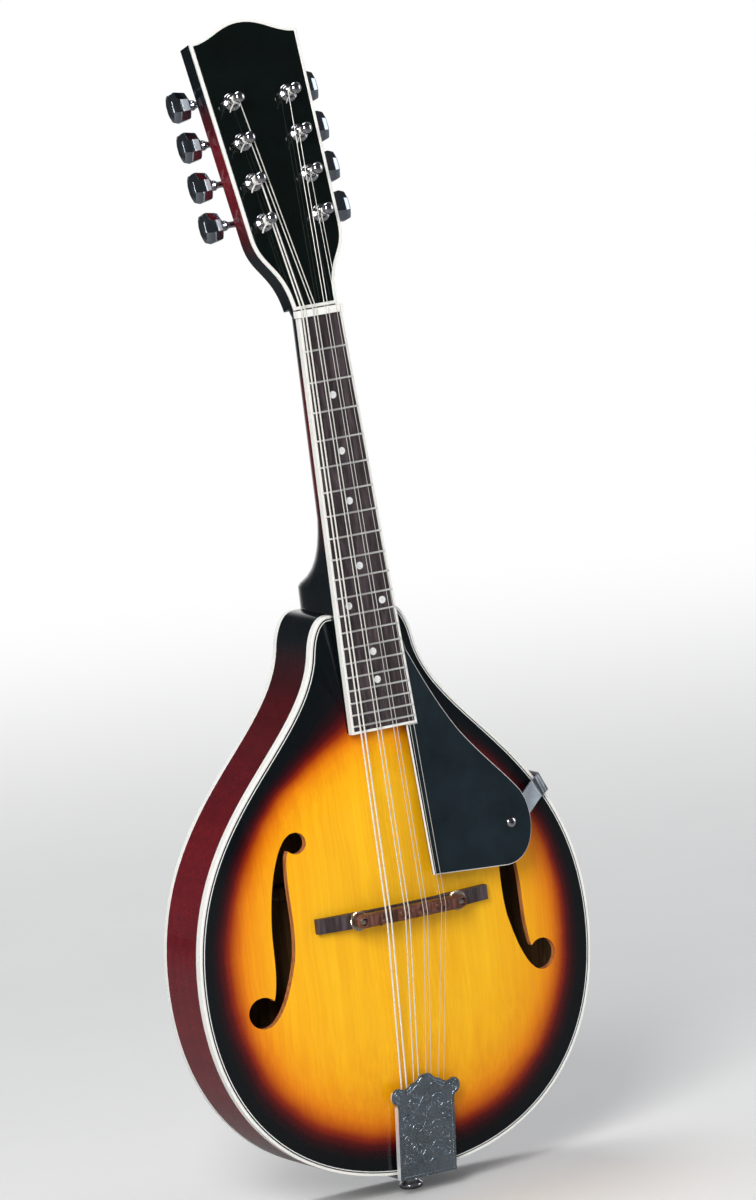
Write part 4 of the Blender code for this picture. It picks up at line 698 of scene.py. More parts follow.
def use(tree, name, **inputs):
    """Places a shared group in a material with its own values."""
    makers = {"Wood grain": grain_group, "Polish marks": polish_group, "Uneven colour": shade_group}
    node = tree.nodes.new("ShaderNodeGroup")
    node.node_tree = bpy.data.node_groups.get(name) or makers[name](name)
    for label, value in inputs.items():
        join(tree, value, node.inputs[label.replace("_", " ")])
    return node.outputs


# Finishes

GLOSS = {"Coat_Weight": 1.0, "Coat_Roughness": 0.05, "Coat_IOR": 1.45, "Specular_IOR_Level": 0.08}
BURST_STOPS = ((0.0, (0.001, 0.0045, 0.0065)), (0.10, (0.003, 0.004, 0.006)), (0.15, (0.022, 0.002, 0.005)),
               (0.195, (0.085, 0.004, 0.004)), (0.235, (0.26, 0.022, 0.002)), (0.28, (0.52, 0.105, 0.001)),
               (0.34, (0.76, 0.22, 0.002)), (0.42, (0.86, 0.33, 0.004)), (0.60, (0.92, 0.44, 0.006)))
BURST_MIDDLE = 0.95
FLOOR_MIRRORED = (0.22, 0.22, 0.22)


def new_finish(name, **values):
    """The tree and shader of a new material, with plain values set on the shader's own inputs."""
    finish = bpy.data.materials.new(name)
    finish.use_nodes = True
    shader = finish.node_tree.nodes["Principled BSDF"]
    for label, value in values.items():
        shader.inputs[label.replace("_", " ")].default_value = value
    return finish.node_tree, shader


def chosen(colour):
    """A colour given as numbers, or by the name of one that the user sets."""
    return tuple(getattr(settings().finishes, colour)) if isinstance(colour, str) else colour


def covered(tree, shader, colour, roughness, height=None, distance=0.0):
    """Joins the colour, the roughness and a relief, whose distance is in metres, to the shader."""
    join(tree, colour, shader.inputs["Base Color"])
    join(tree, roughness, shader.inputs["Roughness"])
    if height is not None:
        bump = put(tree, "Bump", {"Height": height, "Strength": 1.0, "Distance": distance})
        join(tree, bump.outputs["Normal"], shader.inputs["Normal"])


def lacquer(tree, shader, colour, smooth, marked, height=None, distance=0.00003):
    """Clear gloss over a colour: the shader's coat is set beforehand."""
    polish = use(tree, "Polish marks", Scale=24.0, Smooth=smooth, Marked=marked)
    covered(tree, shader, colour, polish["Roughness"], polish["Ripple"] if height is None else height,
            distance)


def sunburst(name):
    """Spruce top: amber in the middle, through orange and red to black at the edge."""
    tree, shader = new_finish(name, **GLOSS)
    way = clouded(tree, put(tree, "Attribute", attribute_name="edge_way").outputs["Fac"], 22.0, 0.06)
    colour = ramp(tree, way, [*BURST_STOPS, (BURST_MIDDLE, chosen("amber"))])
    grain = use(tree, "Wood grain", Across=760.0, Along=5.0, Pore_Size=1900.0)
    colour = tinted(tree, colour, (0.82, 0.60, 0.45), 0.30, grain["Streaks"], 0.0, 1.0)
    colour = tinted(tree, colour, (0.90, 0.76, 0.60), 0.30, grain["Bands"])
    lacquer(tree, shader, colour, 0.26, 0.36, grain["Streaks"], 0.00002)


def cut_spruce(name):
    """Cut edge of the top: bare spruce stained red by the spray."""
    tree, shader = new_finish(name, Specular_IOR_Level=0.3)
    streaks = use(tree, "Wood grain", Across=900.0, Along=60.0, Pore_Size=2600.0)["Streaks"]
    colour = ramp(tree, streaks, [(0.0, (0.30, 0.075, 0.022)), (1.0, (0.68, 0.26, 0.08))])
    covered(tree, shader, colour, spread(tree, streaks, 0.0, 1.0, 0.5, 0.75), streaks, 0.0001)


def shaded_bare_timber(name):
    """Unfinished spruce and maple inside the body: its own grain and pores, with its colour darkened as
    painted shade for the dim inside of the body.
    """
    tree, shader = new_finish(name, Specular_IOR_Level=0.25)
    grain = use(tree, "Wood grain", Across=500.0, Along=8.0, Pore_Size=1800.0, Shift=0.4)
    # These browns are darker than bare spruce and maple: painted shade for the inside of the body.
    colour = ramp(tree, grain["Streaks"], [(0.0, (0.11, 0.055, 0.02)), (1.0, (0.21, 0.115, 0.045))])
    colour = mixed(tree, spread(tree, grain["Pores"], 0.0, 1.0, 0.0, 0.5), colour, (0.09, 0.05, 0.022, 1.0))
    covered(tree, shader, colour, spread(tree, grain["Bands"], 0.0, 1.0, 0.62, 0.8), grain["Streaks"], 0.0001)


def stained(name, stops, black, low, high, tail_fade=False):
    """Maroon wood, by shares of its colour along its length with none for black, under gloss."""
    tree, shader = new_finish(name, **GLOSS)
    axes = put(tree, "SeparateXYZ", {"Vector": place_of(tree)}).outputs
    red = chosen("maroon")
    level = clouded(tree, spread(tree, axes["Z"], low, high, ease="LINEAR"), 18.0, 0.05)
    colour = ramp(tree, level, [(place, tuple(share * part for part in red) if share else black)
                                for place, share in stops])
    if tail_fade:
        from_middle = spread(tree, sum_of(tree, "ABSOLUTE", axes["X"]), 0.025, 0.075, 1.0, 0.0)
        dark = sum_of(tree, "MULTIPLY", from_middle, spread(tree, axes["Z"], -0.42, -0.48))
        colour = mixed(tree, dark, colour, (0.006, 0.005, 0.006, 1.0))
    streaks = use(tree, "Wood grain", Across=420.0, Along=9.0, Pore_Size=2400.0)["Streaks"]
    flame = noise(tree, vector(tree, "MULTIPLY", place_of(tree), (12.0, 12.0, 160.0)), 1.0)["Fac"]
    colour = tinted(tree, colour, (0.62, 0.5, 0.5), 0.5, streaks)
    colour = tinted(tree, colour, (1.5, 1.5, 1.3), 0.35, flame, 0.35, 0.7)
    lacquer(tree, shader, colour, 0.24, 0.36)


def dark_timber(name, low, high, pore, height=0.00012, shift=0.0, **values):
    """Open-pored hardwood with dark lines."""
    tree, shader = new_finish(name, Specular_IOR_Level=0.4, **values)
    grain = use(tree, "Wood grain", Across=520.0, Along=16.0, Pore_Size=2100.0, Shift=shift)
    middle = tuple((a + b) / 2.2 for a, b in zip(low, high))
    colour = ramp(tree, grain["Streaks"], [(0.0, low), (0.55, middle), (1.0, high)])
    colour = tinted(tree, colour, (0.55, 0.5, 0.5), 0.5, grain["Bands"], 0.2, 0.8)
    colour = mixed(tree, sum_of(tree, "MULTIPLY", grain["Pores"], 0.8), colour, (*pore, 1.0))
    depth = sum_of(tree, "MULTIPLY_ADD", grain["Pores"], -1.0, grain["Streaks"])
    covered(tree, shader, colour, spread(tree, grain["Streaks"], 0.0, 1.0, 0.38, 0.56), depth, height)


def plastic(name, colour, smooth, marked, scale=40.0, darker=0.8, lighter=1.25, **values):
    tree, shader = new_finish(name, **values)
    shade = use(tree, "Uneven colour", Colour=(*chosen(colour), 1.0), Scale=scale, Darker=darker,
                Lighter=lighter)
    lacquer(tree, shader, shade["Colour"], smooth, marked)


def metal(name, colour, smooth, marked, scale=60.0, ripple=0.00001, metallic=1.0):
    """Plated metal with wipe marks."""
    tree, shader = new_finish(name, Metallic=metallic)
    polish = use(tree, "Polish marks", Scale=scale, Smooth=smooth, Marked=marked)
    shade = use(tree, "Uneven colour", Colour=(*chosen(colour), 1.0), Scale=scale, Darker=0.88, Lighter=1.04)
    covered(tree, shader, shade["Colour"], polish["Roughness"], polish["Ripple"], ripple)


def engraved(name):
    """Smoky chrome with rosettes cut into it on both sides of the middle."""
    tree, shader = new_finish(name, Metallic=1.0)
    axes = put(tree, "SeparateXYZ", {"Vector": place_of(tree)}).outputs
    folded = put(tree, "CombineXYZ", {"X": sum_of(tree, "ABSOLUTE", axes["X"]), "Z": axes["Z"]}).outputs[0]
    wander = vector(tree, "MULTIPLY", noise(tree, folded, 190.0, 1.0)["Color"], (0.003, 0.0, 0.003))
    rosette = put(tree, "TexVoronoi", {"Vector": vector(tree, "ADD", folded, wander), "Scale": 185.0,
                                       "Randomness": 0.8}).outputs["Distance"]
    cut = spread(tree, sum_of(tree, "SINE", sum_of(tree, "MULTIPLY", rosette, 34.0)), 0.1, 0.95)
    polish = use(tree, "Polish marks", Scale=60.0, Smooth=0.24, Marked=0.38)
    shade = use(tree, "Uneven colour", Colour=(0.38, 0.46, 0.54, 1.0), Scale=60.0, Darker=0.8, Lighter=1.1)
    colour = mixed(tree, sum_of(tree, "MULTIPLY", cut, 0.35), shade["Colour"], (0.74, 0.81, 0.88, 1.0))
    covered(tree, shader, colour, polish["Roughness"], cut, 0.00006)


def bronze_wrap(name):
    """Bronze wrap wire: a fine thread round the string."""
    tree, shader = new_finish(name, Metallic=0.15)
    turns = put(tree, "Attribute", attribute_name="wrap").outputs["Fac"]
    wave = sum_of(tree, "SINE", sum_of(tree, "MULTIPLY", turns, math.tau))
    polish = use(tree, "Polish marks", Scale=160.0, Smooth=0.26, Marked=0.4)
    # The grooves between the turns are darker in colour: painted shade in the grooves, beside the relief that
    # the same wave gives.
    colour = mixed(tree, spread(tree, wave, -1.0, 0.6), (0.80, 0.78, 0.72, 1.0), (0.99, 0.97, 0.93, 1.0))
    covered(tree, shader, colour, polish["Roughness"], wave, 0.00006)


def pearl(name):
    """Pearl dots with drifting pale layers."""
    tree, shader = new_finish(name, Coat_Weight=0.8, Coat_Roughness=0.06)
    layers = noise(tree, place_of(tree), 420.0, 3.0, Distortion=2.0)["Fac"]
    colour = ramp(tree, layers, [(0.3, (0.50, 0.52, 0.55)), (0.5, (0.82, 0.82, 0.80)),
                                 (0.7, (0.64, 0.70, 0.74))])
    covered(tree, shader, colour, spread(tree, layers, 0.3, 0.7, 0.15, 0.35))


def floor_white(name):
    """Pale floor that keeps its shadows near the object and turns white further out."""
    tree, shader = new_finish(name, Roughness=0.7)
    colour = use(tree, "Uneven colour", Colour=(*settings().studio.floor, 1.0), Scale=3.0, Darker=0.98,
                 Lighter=1.02)["Colour"]
    glossy = put(tree, "LightPath").outputs["Is Glossy Ray"]
    join(tree, mixed(tree, glossy, colour, (*FLOOR_MIRRORED, 1.0), "MULTIPLY"), shader.inputs["Base Color"])
    flat = vector(tree, "MULTIPLY", place_of(tree), (1.0, 1.0, 0.0))
    away = put(tree, "VectorMath", {0: flat}, operation="LENGTH").outputs["Value"]
    towards = put(tree, "VectorMath", {0: flat}, operation="NORMALIZE").outputs[0]
    share = sum_of(tree, "MULTIPLY", backdrop_share(tree, towards), spread(tree, away, 0.5, 2.6))
    white = put(tree, "Emission", {"Color": (1.0, 1.0, 1.0, 1.0), "Strength": 1.0})
    blend = put(tree, "MixShader", {0: share, 1: shader.outputs[0], 2: white.outputs[0]})
    join(tree, blend.outputs[0], tree.nodes["Material Output"].inputs["Surface"])


FINISHES = {
    "sunburst_spruce": sunburst,
    "sound_hole_edge": cut_spruce,
    "bare_wood": shaded_bare_timber,
    "maroon_side": partial(stained, stops=((0.0, 1.0), (0.62, 1.0), (0.85, 0.45), (0.955, 0.0), (1.0, 0.0)),
                           black=(0.002, 0.004, 0.0065), low=-0.5259, high=-0.1873, tail_fade=True),
    "maroon_neck": partial(stained, stops=((0.0, 0.0), (0.24, 0.0), (0.34, 0.72), (0.46, 0.72), (0.54, 0.0),
                                           (0.66, 0.0), (0.74, 1.08), (0.82, 1.08), (0.90, 0.0), (1.0, 0.0)),
                           black=(0.001, 0.0045, 0.0075), low=-0.2505, high=0.1618),
    "ivory_binding": partial(plastic, colour="ivory", smooth=0.25, marked=0.4, scale=30.0, darker=0.93,
                             lighter=1.03, Coat_Weight=0.6, Coat_Roughness=0.08, Subsurface_Weight=0.12,
                             Subsurface_Scale=0.002),
    "purfling_black": partial(plastic, colour=(0.012, 0.012, 0.014), smooth=0.25, marked=0.4, **GLOSS),
    "gloss_black": partial(plastic, colour=(0.0018, 0.0042, 0.0036), smooth=0.3, marked=0.42, **GLOSS),
    "guard_face": partial(plastic, colour=(0.011, 0.018, 0.023), smooth=0.12, marked=0.26, **GLOSS),
    "guard_edge": partial(plastic, colour=(0.80, 0.80, 0.80), smooth=0.25, marked=0.4, scale=60.0,
                          darker=0.92, lighter=1.02, Coat_Weight=0.5),
    "rosewood_board": partial(dark_timber, low=(0.024, 0.017, 0.020), high=(0.078, 0.056, 0.064),
                              pore=(0.010, 0.007, 0.008)),
    "rosewood_bridge": partial(dark_timber, low=(0.038, 0.027, 0.030), high=(0.098, 0.068, 0.074),
                               pore=(0.015, 0.010, 0.010), shift=0.7),
    "rosewood_saddle": partial(dark_timber, low=(0.060, 0.022, 0.015), high=(0.24, 0.085, 0.055),
                               pore=(0.02, 0.008, 0.006), height=0.0002, shift=1.3, Coat_Weight=0.3,
                               Coat_Roughness=0.25),
    "plated_chrome": partial(metal, colour="chrome", smooth=0.05, marked=0.16, scale=45.0),
    "button_chrome": partial(metal, colour=(0.43, 0.48, 0.55), smooth=0.06, marked=0.18),
    # Brighter satin for the cover's side faces: a painted reflection of the light along them.
    "cover_edge": partial(metal, colour=(0.86, 0.88, 0.90), smooth=0.3, marked=0.42, scale=40.0,
                          metallic=0.35),
    "fret_wire": partial(metal, colour=(0.90, 0.90, 0.88), smooth=0.34, marked=0.44, metallic=0.75),
    "satin_steel": partial(metal, colour=(0.33, 0.36, 0.40), smooth=0.38, marked=0.52, scale=90.0,
                           ripple=0.00003),
    "wheel_metal": partial(metal, colour=(0.74, 0.66, 0.56), smooth=0.2, marked=0.38, scale=90.0),
    "plain_string": partial(metal, colour=(0.88, 0.86, 0.83), smooth=0.3, marked=0.38, metallic=0.55),
    "cover_chrome": engraved,
    "wound_string": bronze_wrap,
    "pearl": pearl,
    "pale_floor": floor_white,
}


def surface(name):
    """The finish of that name, made the first time that it is asked for."""
    if name not in bpy.data.materials:
        FINISHES[name](name)
    return bpy.data.materials[name]


# Body

def top_rings():
    """Shares of the way from the arch's spine to the edge, closer together at the edge."""
    return [0.02] + [1.0 - (1.0 - k / 26.0) ** 1.25 for k in range(1, 27)]


def ring_at(edge, share):
    found = []
    for x, up in edge:
        spine = min(max(up, -SPINE_TO), -SPINE_FROM)
        found.append((x * share, spine + (up - spine) * share))
    return found


def sound_hole(side):
    """The three closed outlines of one f-shaped hole."""
    eye_x, eye_up = UPPER_EYE
    foot_x, foot_up = LOWER_EYE
    outer = curve((eye_x, eye_up + UPPER_EYE_RADIUS),
                  ((eye_x + 11.5, eye_up + UPPER_EYE_RADIUS + 0.8), (STEM_OUTER_X - 0.5, WAIST_UP + 30.0),
                   (STEM_OUTER_X, WAIST_UP), 24),
                  ((STEM_OUTER_X + 0.2, WAIST_UP - 14.0), (STEM_OUTER_X + 0.2, foot_up + 17.0),
                   (foot_x - 7.2, foot_up + 6.1), 16))
    inner = curve((foot_x, foot_up - LOWER_EYE_RADIUS),
                  ((foot_x - 10.2, foot_up - LOWER_EYE_RADIUS), (STEM_INNER_X + 6.0, WAIST_UP - 31.0),
                   (STEM_INNER_X + 1.2, WAIST_UP - 12.0), 20),
                  ((STEM_INNER_X - 3.0, WAIST_UP + 10.0), (STEM_INNER_X + 2.4, WAIST_UP + 34.0),
                   (eye_x + 5.8, eye_up - 4.0), 20))
    stem = [(side * x, up) for x, up in outer + inner]
    return [stem, circle((side * eye_x, eye_up), UPPER_EYE_RADIUS, 48, 0.07),
            circle((side * foot_x, foot_up), LOWER_EYE_RADIUS, 60, 0.07)]


def body_points(mesh):
    """A mesh's points as x and up in the body frame, and out."""
    count = len(mesh.vertices)
    flat = np.empty(count * 3)
    mesh.vertices.foreach_get("co", flat)
    turn = np.array(BODY.inverted())
    local = (flat.reshape(-1, 3) @ turn[:3, :3].T + turn[:3, 3]) / MM
    return local[:, 0], local[:, 2], -local[:, 1]


def burst_way(x, up):
    """Way in from the edge, in mm, shortened toward the neck and the tail, where the spray is wider."""
    way = edge_distance(x, up)
    wide = np.interp(up, (-285.0, -250.0, -215.0, -180.0, -150.0, -112.0, -98.0, -80.0, -62.0, -48.0),
                     (1.22, 1.12, 1.0, 0.98, 0.92, 0.80, 0.86, 1.2, 1.85, 2.3))
    return way / wide


def dress_top(mesh):
    """Stores the way in from the edge, and the arch's own normals on the outer face."""
    x, up, out = body_points(mesh)
    way = mesh.attributes.new("edge_way", "FLOAT", "POINT")
    way.data.foreach_set("value", (burst_way(x, up) / BURST_REACH).astype(np.float32))
    step = 0.5
    height = arch_height(x, up)
    slope_x = (arch_height(x + step, up) - arch_height(x - step, up)) / (2.0 * step)
    slope_up = (arch_height(x, up + step) - arch_height(x, up - step)) / (2.0 * step)
    normal = np.stack([-slope_x, -np.ones_like(slope_x), -slope_up], -1)
    normal /= np.linalg.norm(normal, axis=1)[:, None]
    outer = (np.abs(out - height) < 0.08) & (edge_distance(x, up) > 3.6)
    corners = np.empty(len(mesh.loops), dtype=np.int32)
    mesh.loops.foreach_get("vertex_index", corners)
    given = np.array([tuple(n.vector) for n in mesh.corner_normals])
    faces = np.zeros(len(mesh.loops), dtype=bool)
    for face in mesh.polygons:
        if face.normal.y < -0.8 and face.material_index == 0:
            faces[face.loop_start:face.loop_start + face.loop_total] = True
    use_arch = faces & outer[corners]
    given[use_arch] = normal[corners][use_arch]
    mesh.normals_split_custom_set([Vector(n) for n in given])


def build_soundboard():
    """Arched top with its two sound holes."""
    edge = inset(OUTLINE, 1.95)
    outer, inner = [], []
    for share in top_rings():
        ring = ring_at(edge, share)
        height = arch_height(*np.array(ring).T)
        outer.append([(x, out, up) for (x, up), out in zip(ring, height)])
        thin = TOP_THICKNESS + TOP_THICKENING * (1.0 - share)
        inner.append([(x, out - thin, up) for (x, up), out in zip(ring, height)])
    top = formed("arched_top", BODY, lofted(outer + inner[::-1]), "sunburst_spruce", 50.0)
    holes = [slab(shape, -TOP_THICKNESS - 3.0, ARCH_HEIGHT + 2.0) for side in (-1.0, 1.0)
             for shape in sound_hole(side)]
    carve(top, BODY, holes, surface("sound_hole_edge"))
    shade(top.data, 50.0)
    dress_top(top.data)
    finish_piece(top, "soundboard", main=True)


def band(name, width, low, high, node):
    """A white strip let in all round the body's edge."""
    profile = [(0.0, low), (width, low), (width, high), (0.0, high)]
    make(name, BODY, hoop(OUTLINE, profile), "ivory_binding", node, main=True,
         soft=settings().sizes.edge_round / MM)


def build_binding():
    """White bindings with the black and white lines let into the top beside them."""
    band("top_binding_strip", 1.9, -TOP_BINDING_HEIGHT, 0.0, "top_binding")
    band("back_binding_strip", 1.7, -BODY_DEPTH, -BODY_DEPTH + BACK_BINDING_HEIGHT, "back_binding")
    line = settings().sizes.line_width / MM
    for name, start, width, finish in (("outer_black_line", 2.0, line, "purfling_black"),
                                       ("white_line", 2.5, 0.5, "ivory_binding"),
                                       ("inner_black_line", 3.08, line, "purfling_black")):
        loops = []
        for depth, lift in ((start, -0.6), (start, 0.06), (start + width, 0.06), (start + width, -0.6)):
            loop = inset(OUTLINE, depth)
            seat = arch_height(*np.array(loop).T) + lift
            loops.append([(x, out, up) for (x, up), out in zip(loop, seat)])
        make(name, BODY, lofted(loops, True), finish, "top_binding")


def build_sides():
    """Bent sides with their linings, the flat back and its braces."""
    lined = RIM_THICKNESS + LINING_WIDTH
    top_seat = -TOP_THICKNESS - GLUE_LINE
    back_seat = -BODY_DEPTH + BACK_THICKNESS + GLUE_LINE
    shell = [(0.0, -BODY_DEPTH + BACK_BINDING_HEIGHT + 0.1), (2.0, -BODY_DEPTH + BACK_BINDING_HEIGHT + 0.1),
             (2.0, back_seat), (RIM_THICKNESS, back_seat), (RIM_THICKNESS, top_seat), (2.0, top_seat),
             (2.0, -TOP_BINDING_HEIGHT - 0.1), (0.0, -TOP_BINDING_HEIGHT - 0.1)]
    sides = formed("bent_sides", BODY, hoop(OUTLINE, shell), "maroon_side", 40.0)
    bore = rod(END_PIN_BORE_RADIUS, -BODY_LENGTH - 3.0, -BODY_LENGTH + 6.0, 40,
                  "up", (0.0, END_PIN_OUT, 0.0))
    carve(sides, BODY, [bore])
    line_inside(sides, lambda x, up, out: edge_distance(x, up).min() > RIM_THICKNESS - 0.05)
    finish_piece(sides, "rim", main=True)
    for name, seat, far in (("top_lining", top_seat, top_seat - LINING_HEIGHT),
                            ("back_lining", back_seat, back_seat + LINING_HEIGHT)):
        slope = [(RIM_THICKNESS + 0.02, seat), (lined, seat), (lined, seat + (far - seat) * 0.4),
                 (RIM_THICKNESS + 0.02, far)]
        make(name, BODY, hoop(OUTLINE, slope), "bare_wood", "rim")
    inner = -BODY_DEPTH + BACK_THICKNESS
    panel = make("flat_back", BODY, slab(inset(OUTLINE, 1.75), -BODY_DEPTH, inner), "maroon_side",
                 "back", main=True, soft=0.25)
    line_inside(panel, lambda x, up, out: out.min() > inner - 0.05)
    inside = inset(OUTLINE, lined + 0.3)
    for number, down in enumerate(BRACE_PLACES, start=1):
        reach = min(abs(x) for x, up in inside if abs(up + down) < BRACE_WIDTH and abs(x) > 20.0) - 0.5
        shape = [(BRACE_WIDTH / 2.0 * wide - down, inner + rise)
                 for wide, rise in ((-1.0, 0.02), (1.0, 0.02), (1.0, BRACE_HEIGHT * 0.55),
                                    (0.5, BRACE_HEIGHT * 0.85), (0.0, BRACE_HEIGHT),
                                    (-0.5, BRACE_HEIGHT * 0.85), (-1.0, BRACE_HEIGHT * 0.55))]
        make(f"back_brace_{number}", BODY, across(shape, -reach, reach), "bare_wood", "back", soft=0.5)


def line_inside(piece, inside):
    """Bare wood, its colour darkened as painted shade, on the faces that look into the body."""
    piece.data.materials.append(surface("bare_wood"))
    x, up, out = body_points(piece.data)
    for face in piece.data.polygons:
        corners = list(face.vertices)
        if inside(x[corners], up[corners], out[corners]):
            face.material_index = 1


def dress_inner_wood():
    """Blocks and tone bars of the frame, left as they are in bare wood whose colour is darkened as painted
    shade.
    """
    for node in ("neck_block", "tail_block", "bass_tone_bar", "treble_tone_bar"):
        dress_node(node, "bare_wood")


def dress_node(node, finish):
    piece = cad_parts[node]
    for place in range(max(1, len(piece.material_slots))):
        if piece.material_slots:
            piece.material_slots[place].material = surface(finish)


# Neck and headstock

def section(half, top, depth, squareness, count=32):
    """A neck section: flat on top, rounded below, as (x, out) from treble to bass."""
    found = []
    for k in range(count + 1):
        angle = math.pi * k / count
        cos = math.cos(angle)
        drop = depth * math.sin(angle) ** squareness if 0 < k < count else 0.0
        found.append((half * math.copysign(abs(cos) ** squareness, cos), top - drop))
    return found


HEEL_FLARE = ((0.0, 0.0, 0.85), (0.2, 0.07, 0.82), (0.4, 0.19, 0.79), (0.58, 0.33, 0.73), (0.74, 0.49, 0.65),
              (0.88, 0.7, 0.55), (0.97, 0.91, 0.47), (1.03, 0.99, 0.43))


def flare_at(share):
    """Depth and squareness of the heel, eased between its few given sections."""
    places = [row[0] for row in HEEL_FLARE]
    return (float(np.interp(share, places, [row[1] for row in HEEL_FLARE])),
            float(np.interp(share, places, [row[2] for row in HEEL_FLARE])))


def neck_loops():
    top = -BOARD_THICKNESS - GLUE_LINE
    head_top = -OVERLAY_THICKNESS - GLUE_LINE
    foot = NUT_WIDTH / 2.0 - 0.6
    loops = []
    for half, depth, square, up in ((foot + 0.6, HEAD_THICKNESS - 0.3, 0.5, 16.0),
                                    (foot + 0.1, HEAD_THICKNESS + 0.1, 0.56, 9.0),
                                    (foot - 0.2, HEAD_THICKNESS + 1.0, 0.65, 1.0)):
        loops.append([between(HEAD, NECK, (x, out, up))
                      for x, out in section(half, head_top - 0.1, depth, square)])
    straight = JOIN_FROM_NUT - HEEL_LENGTH - HEEL_CAP_LENGTH
    for k in range(13):
        from_nut = -1.0 + (straight + 1.0) * k / 12.0
        depth = NECK_DEPTHS[0] + (NECK_DEPTHS[1] - NECK_DEPTHS[0]) * k / 12.0
        half = board_half_width(max(0.0, from_nut)) - 0.4
        loops.append([(x, out, JOIN_FROM_NUT - from_nut) for x, out in section(half, top, depth, 0.85)])
    full = BODY_DEPTH + BOARD_RISE + top
    lean = math.tan(NECK_ANGLE)
    for k in range(1, 20):
        share = 1.03 * k / 19.0
        fill, square = flare_at(share)
        from_nut = straight + HEEL_LENGTH * share
        depth = NECK_DEPTHS[1] + (full - NECK_DEPTHS[1]) * fill
        half = board_half_width(from_nut) - 0.4
        loops.append([(x, out, JOIN_FROM_NUT - from_nut + lean * (top - out))
                      for x, out in section(half, top, depth, square)])
    half = board_half_width(JOIN_FROM_NUT) - 0.4
    heel = section(half, BOARD_RISE - BOARD_THICKNESS - 1.5 * GLUE_LINE, full + 0.2, 0.43)
    loops.append([between(BODY, NECK, (x, out, GLUE_LINE)) for x, out in heel])
    return loops


def clipped_above(outline, least):
    """The part of a closed outline above a level."""
    found = []
    for k, here in enumerate(outline):
        there = outline[(k + 1) % len(outline)]
        if here[1] >= least:
            found.append(here)
        if (here[1] >= least) != (there[1] >= least):
            t = (least - here[1]) / (there[1] - here[1])
            found.append((here[0] + (there[0] - here[0]) * t, least))
    return found


def build_neck():
    """Neck, heel and headstock core, bored for the tuners."""
    neck = formed("neck_and_heel", NECK, lofted(neck_loops()), "maroon_neck", 60.0)
    core = slab(clipped_above(head_outline(), 3.0), -OVERLAY_THICKNESS - GLUE_LINE, HEAD_BACK)
    carve(neck, HEAD, [core], operation="UNION")
    bores = [rod(FERRULE_BORE_RADIUS, HEAD_BACK - 2.0, 2.0, 32, "out", (x, 0.0, up))
             for _, x, up in post_places()]
    carve(neck, HEAD, bores)
    shade(neck.data, 48.0)
    soften(neck, 0.5, 2, 50.0)
    finish_piece(neck, "neck", main=True)


def build_headstock():
    """Black face veneer with its white binding."""
    outline = head_outline()
    inner = inset(outline, HEAD_BINDING + 0.05)
    face = formed("headstock_face", HEAD, slab(inner, -OVERLAY_THICKNESS, 0.0), "gloss_black")
    bores = [rod(FERRULE_BORE_RADIUS, -4.0, 2.0, 32, "out", (x, 0.0, up))
             for _, x, up in post_places()]
    carve(face, HEAD, bores)
    soften(face, 0.2)
    finish_piece(face, "headstock_overlay", main=True)
    profile = [(0.0, -OVERLAY_THICKNESS - 0.2), (HEAD_BINDING, -OVERLAY_THICKNESS - 0.2), (HEAD_BINDING, 0.0),
               (0.0, 0.0)]
    make("headstock_edge", HEAD, hoop(outline, profile), "ivory_binding", "headstock_binding",
         main=True, soft=0.35)


# Fretboard and nut

def tapered(from_nut_a, from_nut_b, depth, low, high):
    """A tapered plate of the fretboard between two places, its sides set in by a depth."""
    near = board_half_width(from_nut_a) - depth
    far = board_half_width(from_nut_b) - depth
    corners = [(near, JOIN_FROM_NUT - from_nut_a), (far, JOIN_FROM_NUT - from_nut_b),
               (-far, JOIN_FROM_NUT - from_nut_b), (-near, JOIN_FROM_NUT - from_nut_a)]
    return slab(corners, low, high)


def fret_shape(number):
    """One crowned fret, with its ends filed at a slant."""
    middle = fret_place(number)
    half_board = board_half_width(middle) - 0.7
    loops = []
    for share in (-1.0, -0.965, 0.965, 1.0):
        tall = settings().sizes.fret_height / MM if abs(share) < 0.97 else 0.35
        loop = [(share * half_board, -0.4, JOIN_FROM_NUT - middle + FRET_HALF_WIDTH)]
        for k in range(9):
            angle = math.pi * k / 8.0
            loop.append((share * half_board, 0.02 + tall * math.sin(angle),
                         JOIN_FROM_NUT - middle + FRET_HALF_WIDTH * math.cos(angle)))
        loop.append((share * half_board, -0.4, JOIN_FROM_NUT - middle - FRET_HALF_WIDTH))
        loops.append(loop)
    return lofted(loops)


def build_fretboard():
    """Rosewood board with its frets, pearl dots, binding and the riser under its end."""
    inside = BOARD_BINDING + 0.05
    end = BOARD_LENGTH - inside
    make("rosewood_fretboard", NECK, tapered(0.0, end, inside, -BOARD_THICKNESS, 0.0), "rosewood_board",
         "fretboard", main=True)
    wire = gathered([fret_shape(number) for number in range(1, FRET_COUNT + 1)])
    make("frets", NECK, wire, "fret_wire", "tuner_knob_1", smooth=50.0)
    dots = []
    dot = settings().sizes.dot_radius / MM
    for number in DOTTED_FRETS:
        up = JOIN_FROM_NUT - (fret_place(number) + fret_place(number - 1)) / 2.0
        for x in ((-11.2, 11.2) if number == TWIN_DOTS else (0.0,)):
            dots.append(turned([(dot, -0.5), (dot, 0.05), (dot - 0.3, 0.12)], 28, "out", (x, 0.0, up)))
    make("pearl_dots", NECK, gathered(dots), "pearl", "nut")
    near = board_half_width(0.0)
    far = board_half_width(BOARD_LENGTH)
    top, low = JOIN_FROM_NUT, JOIN_FROM_NUT - BOARD_LENGTH
    strip = [(near, top), (far, low), (-far, low), (-near, top), (-near + BOARD_BINDING, top),
             (-far + BOARD_BINDING, low + BOARD_BINDING), (far - BOARD_BINDING, low + BOARD_BINDING),
             (near - BOARD_BINDING, top)]
    make("fretboard_edge", NECK, slab(strip, -BOARD_THICKNESS, 0.02), "ivory_binding",
         "fretboard_binding", main=True, soft=0.3)
    dress_node("fretboard_riser", "gloss_black")


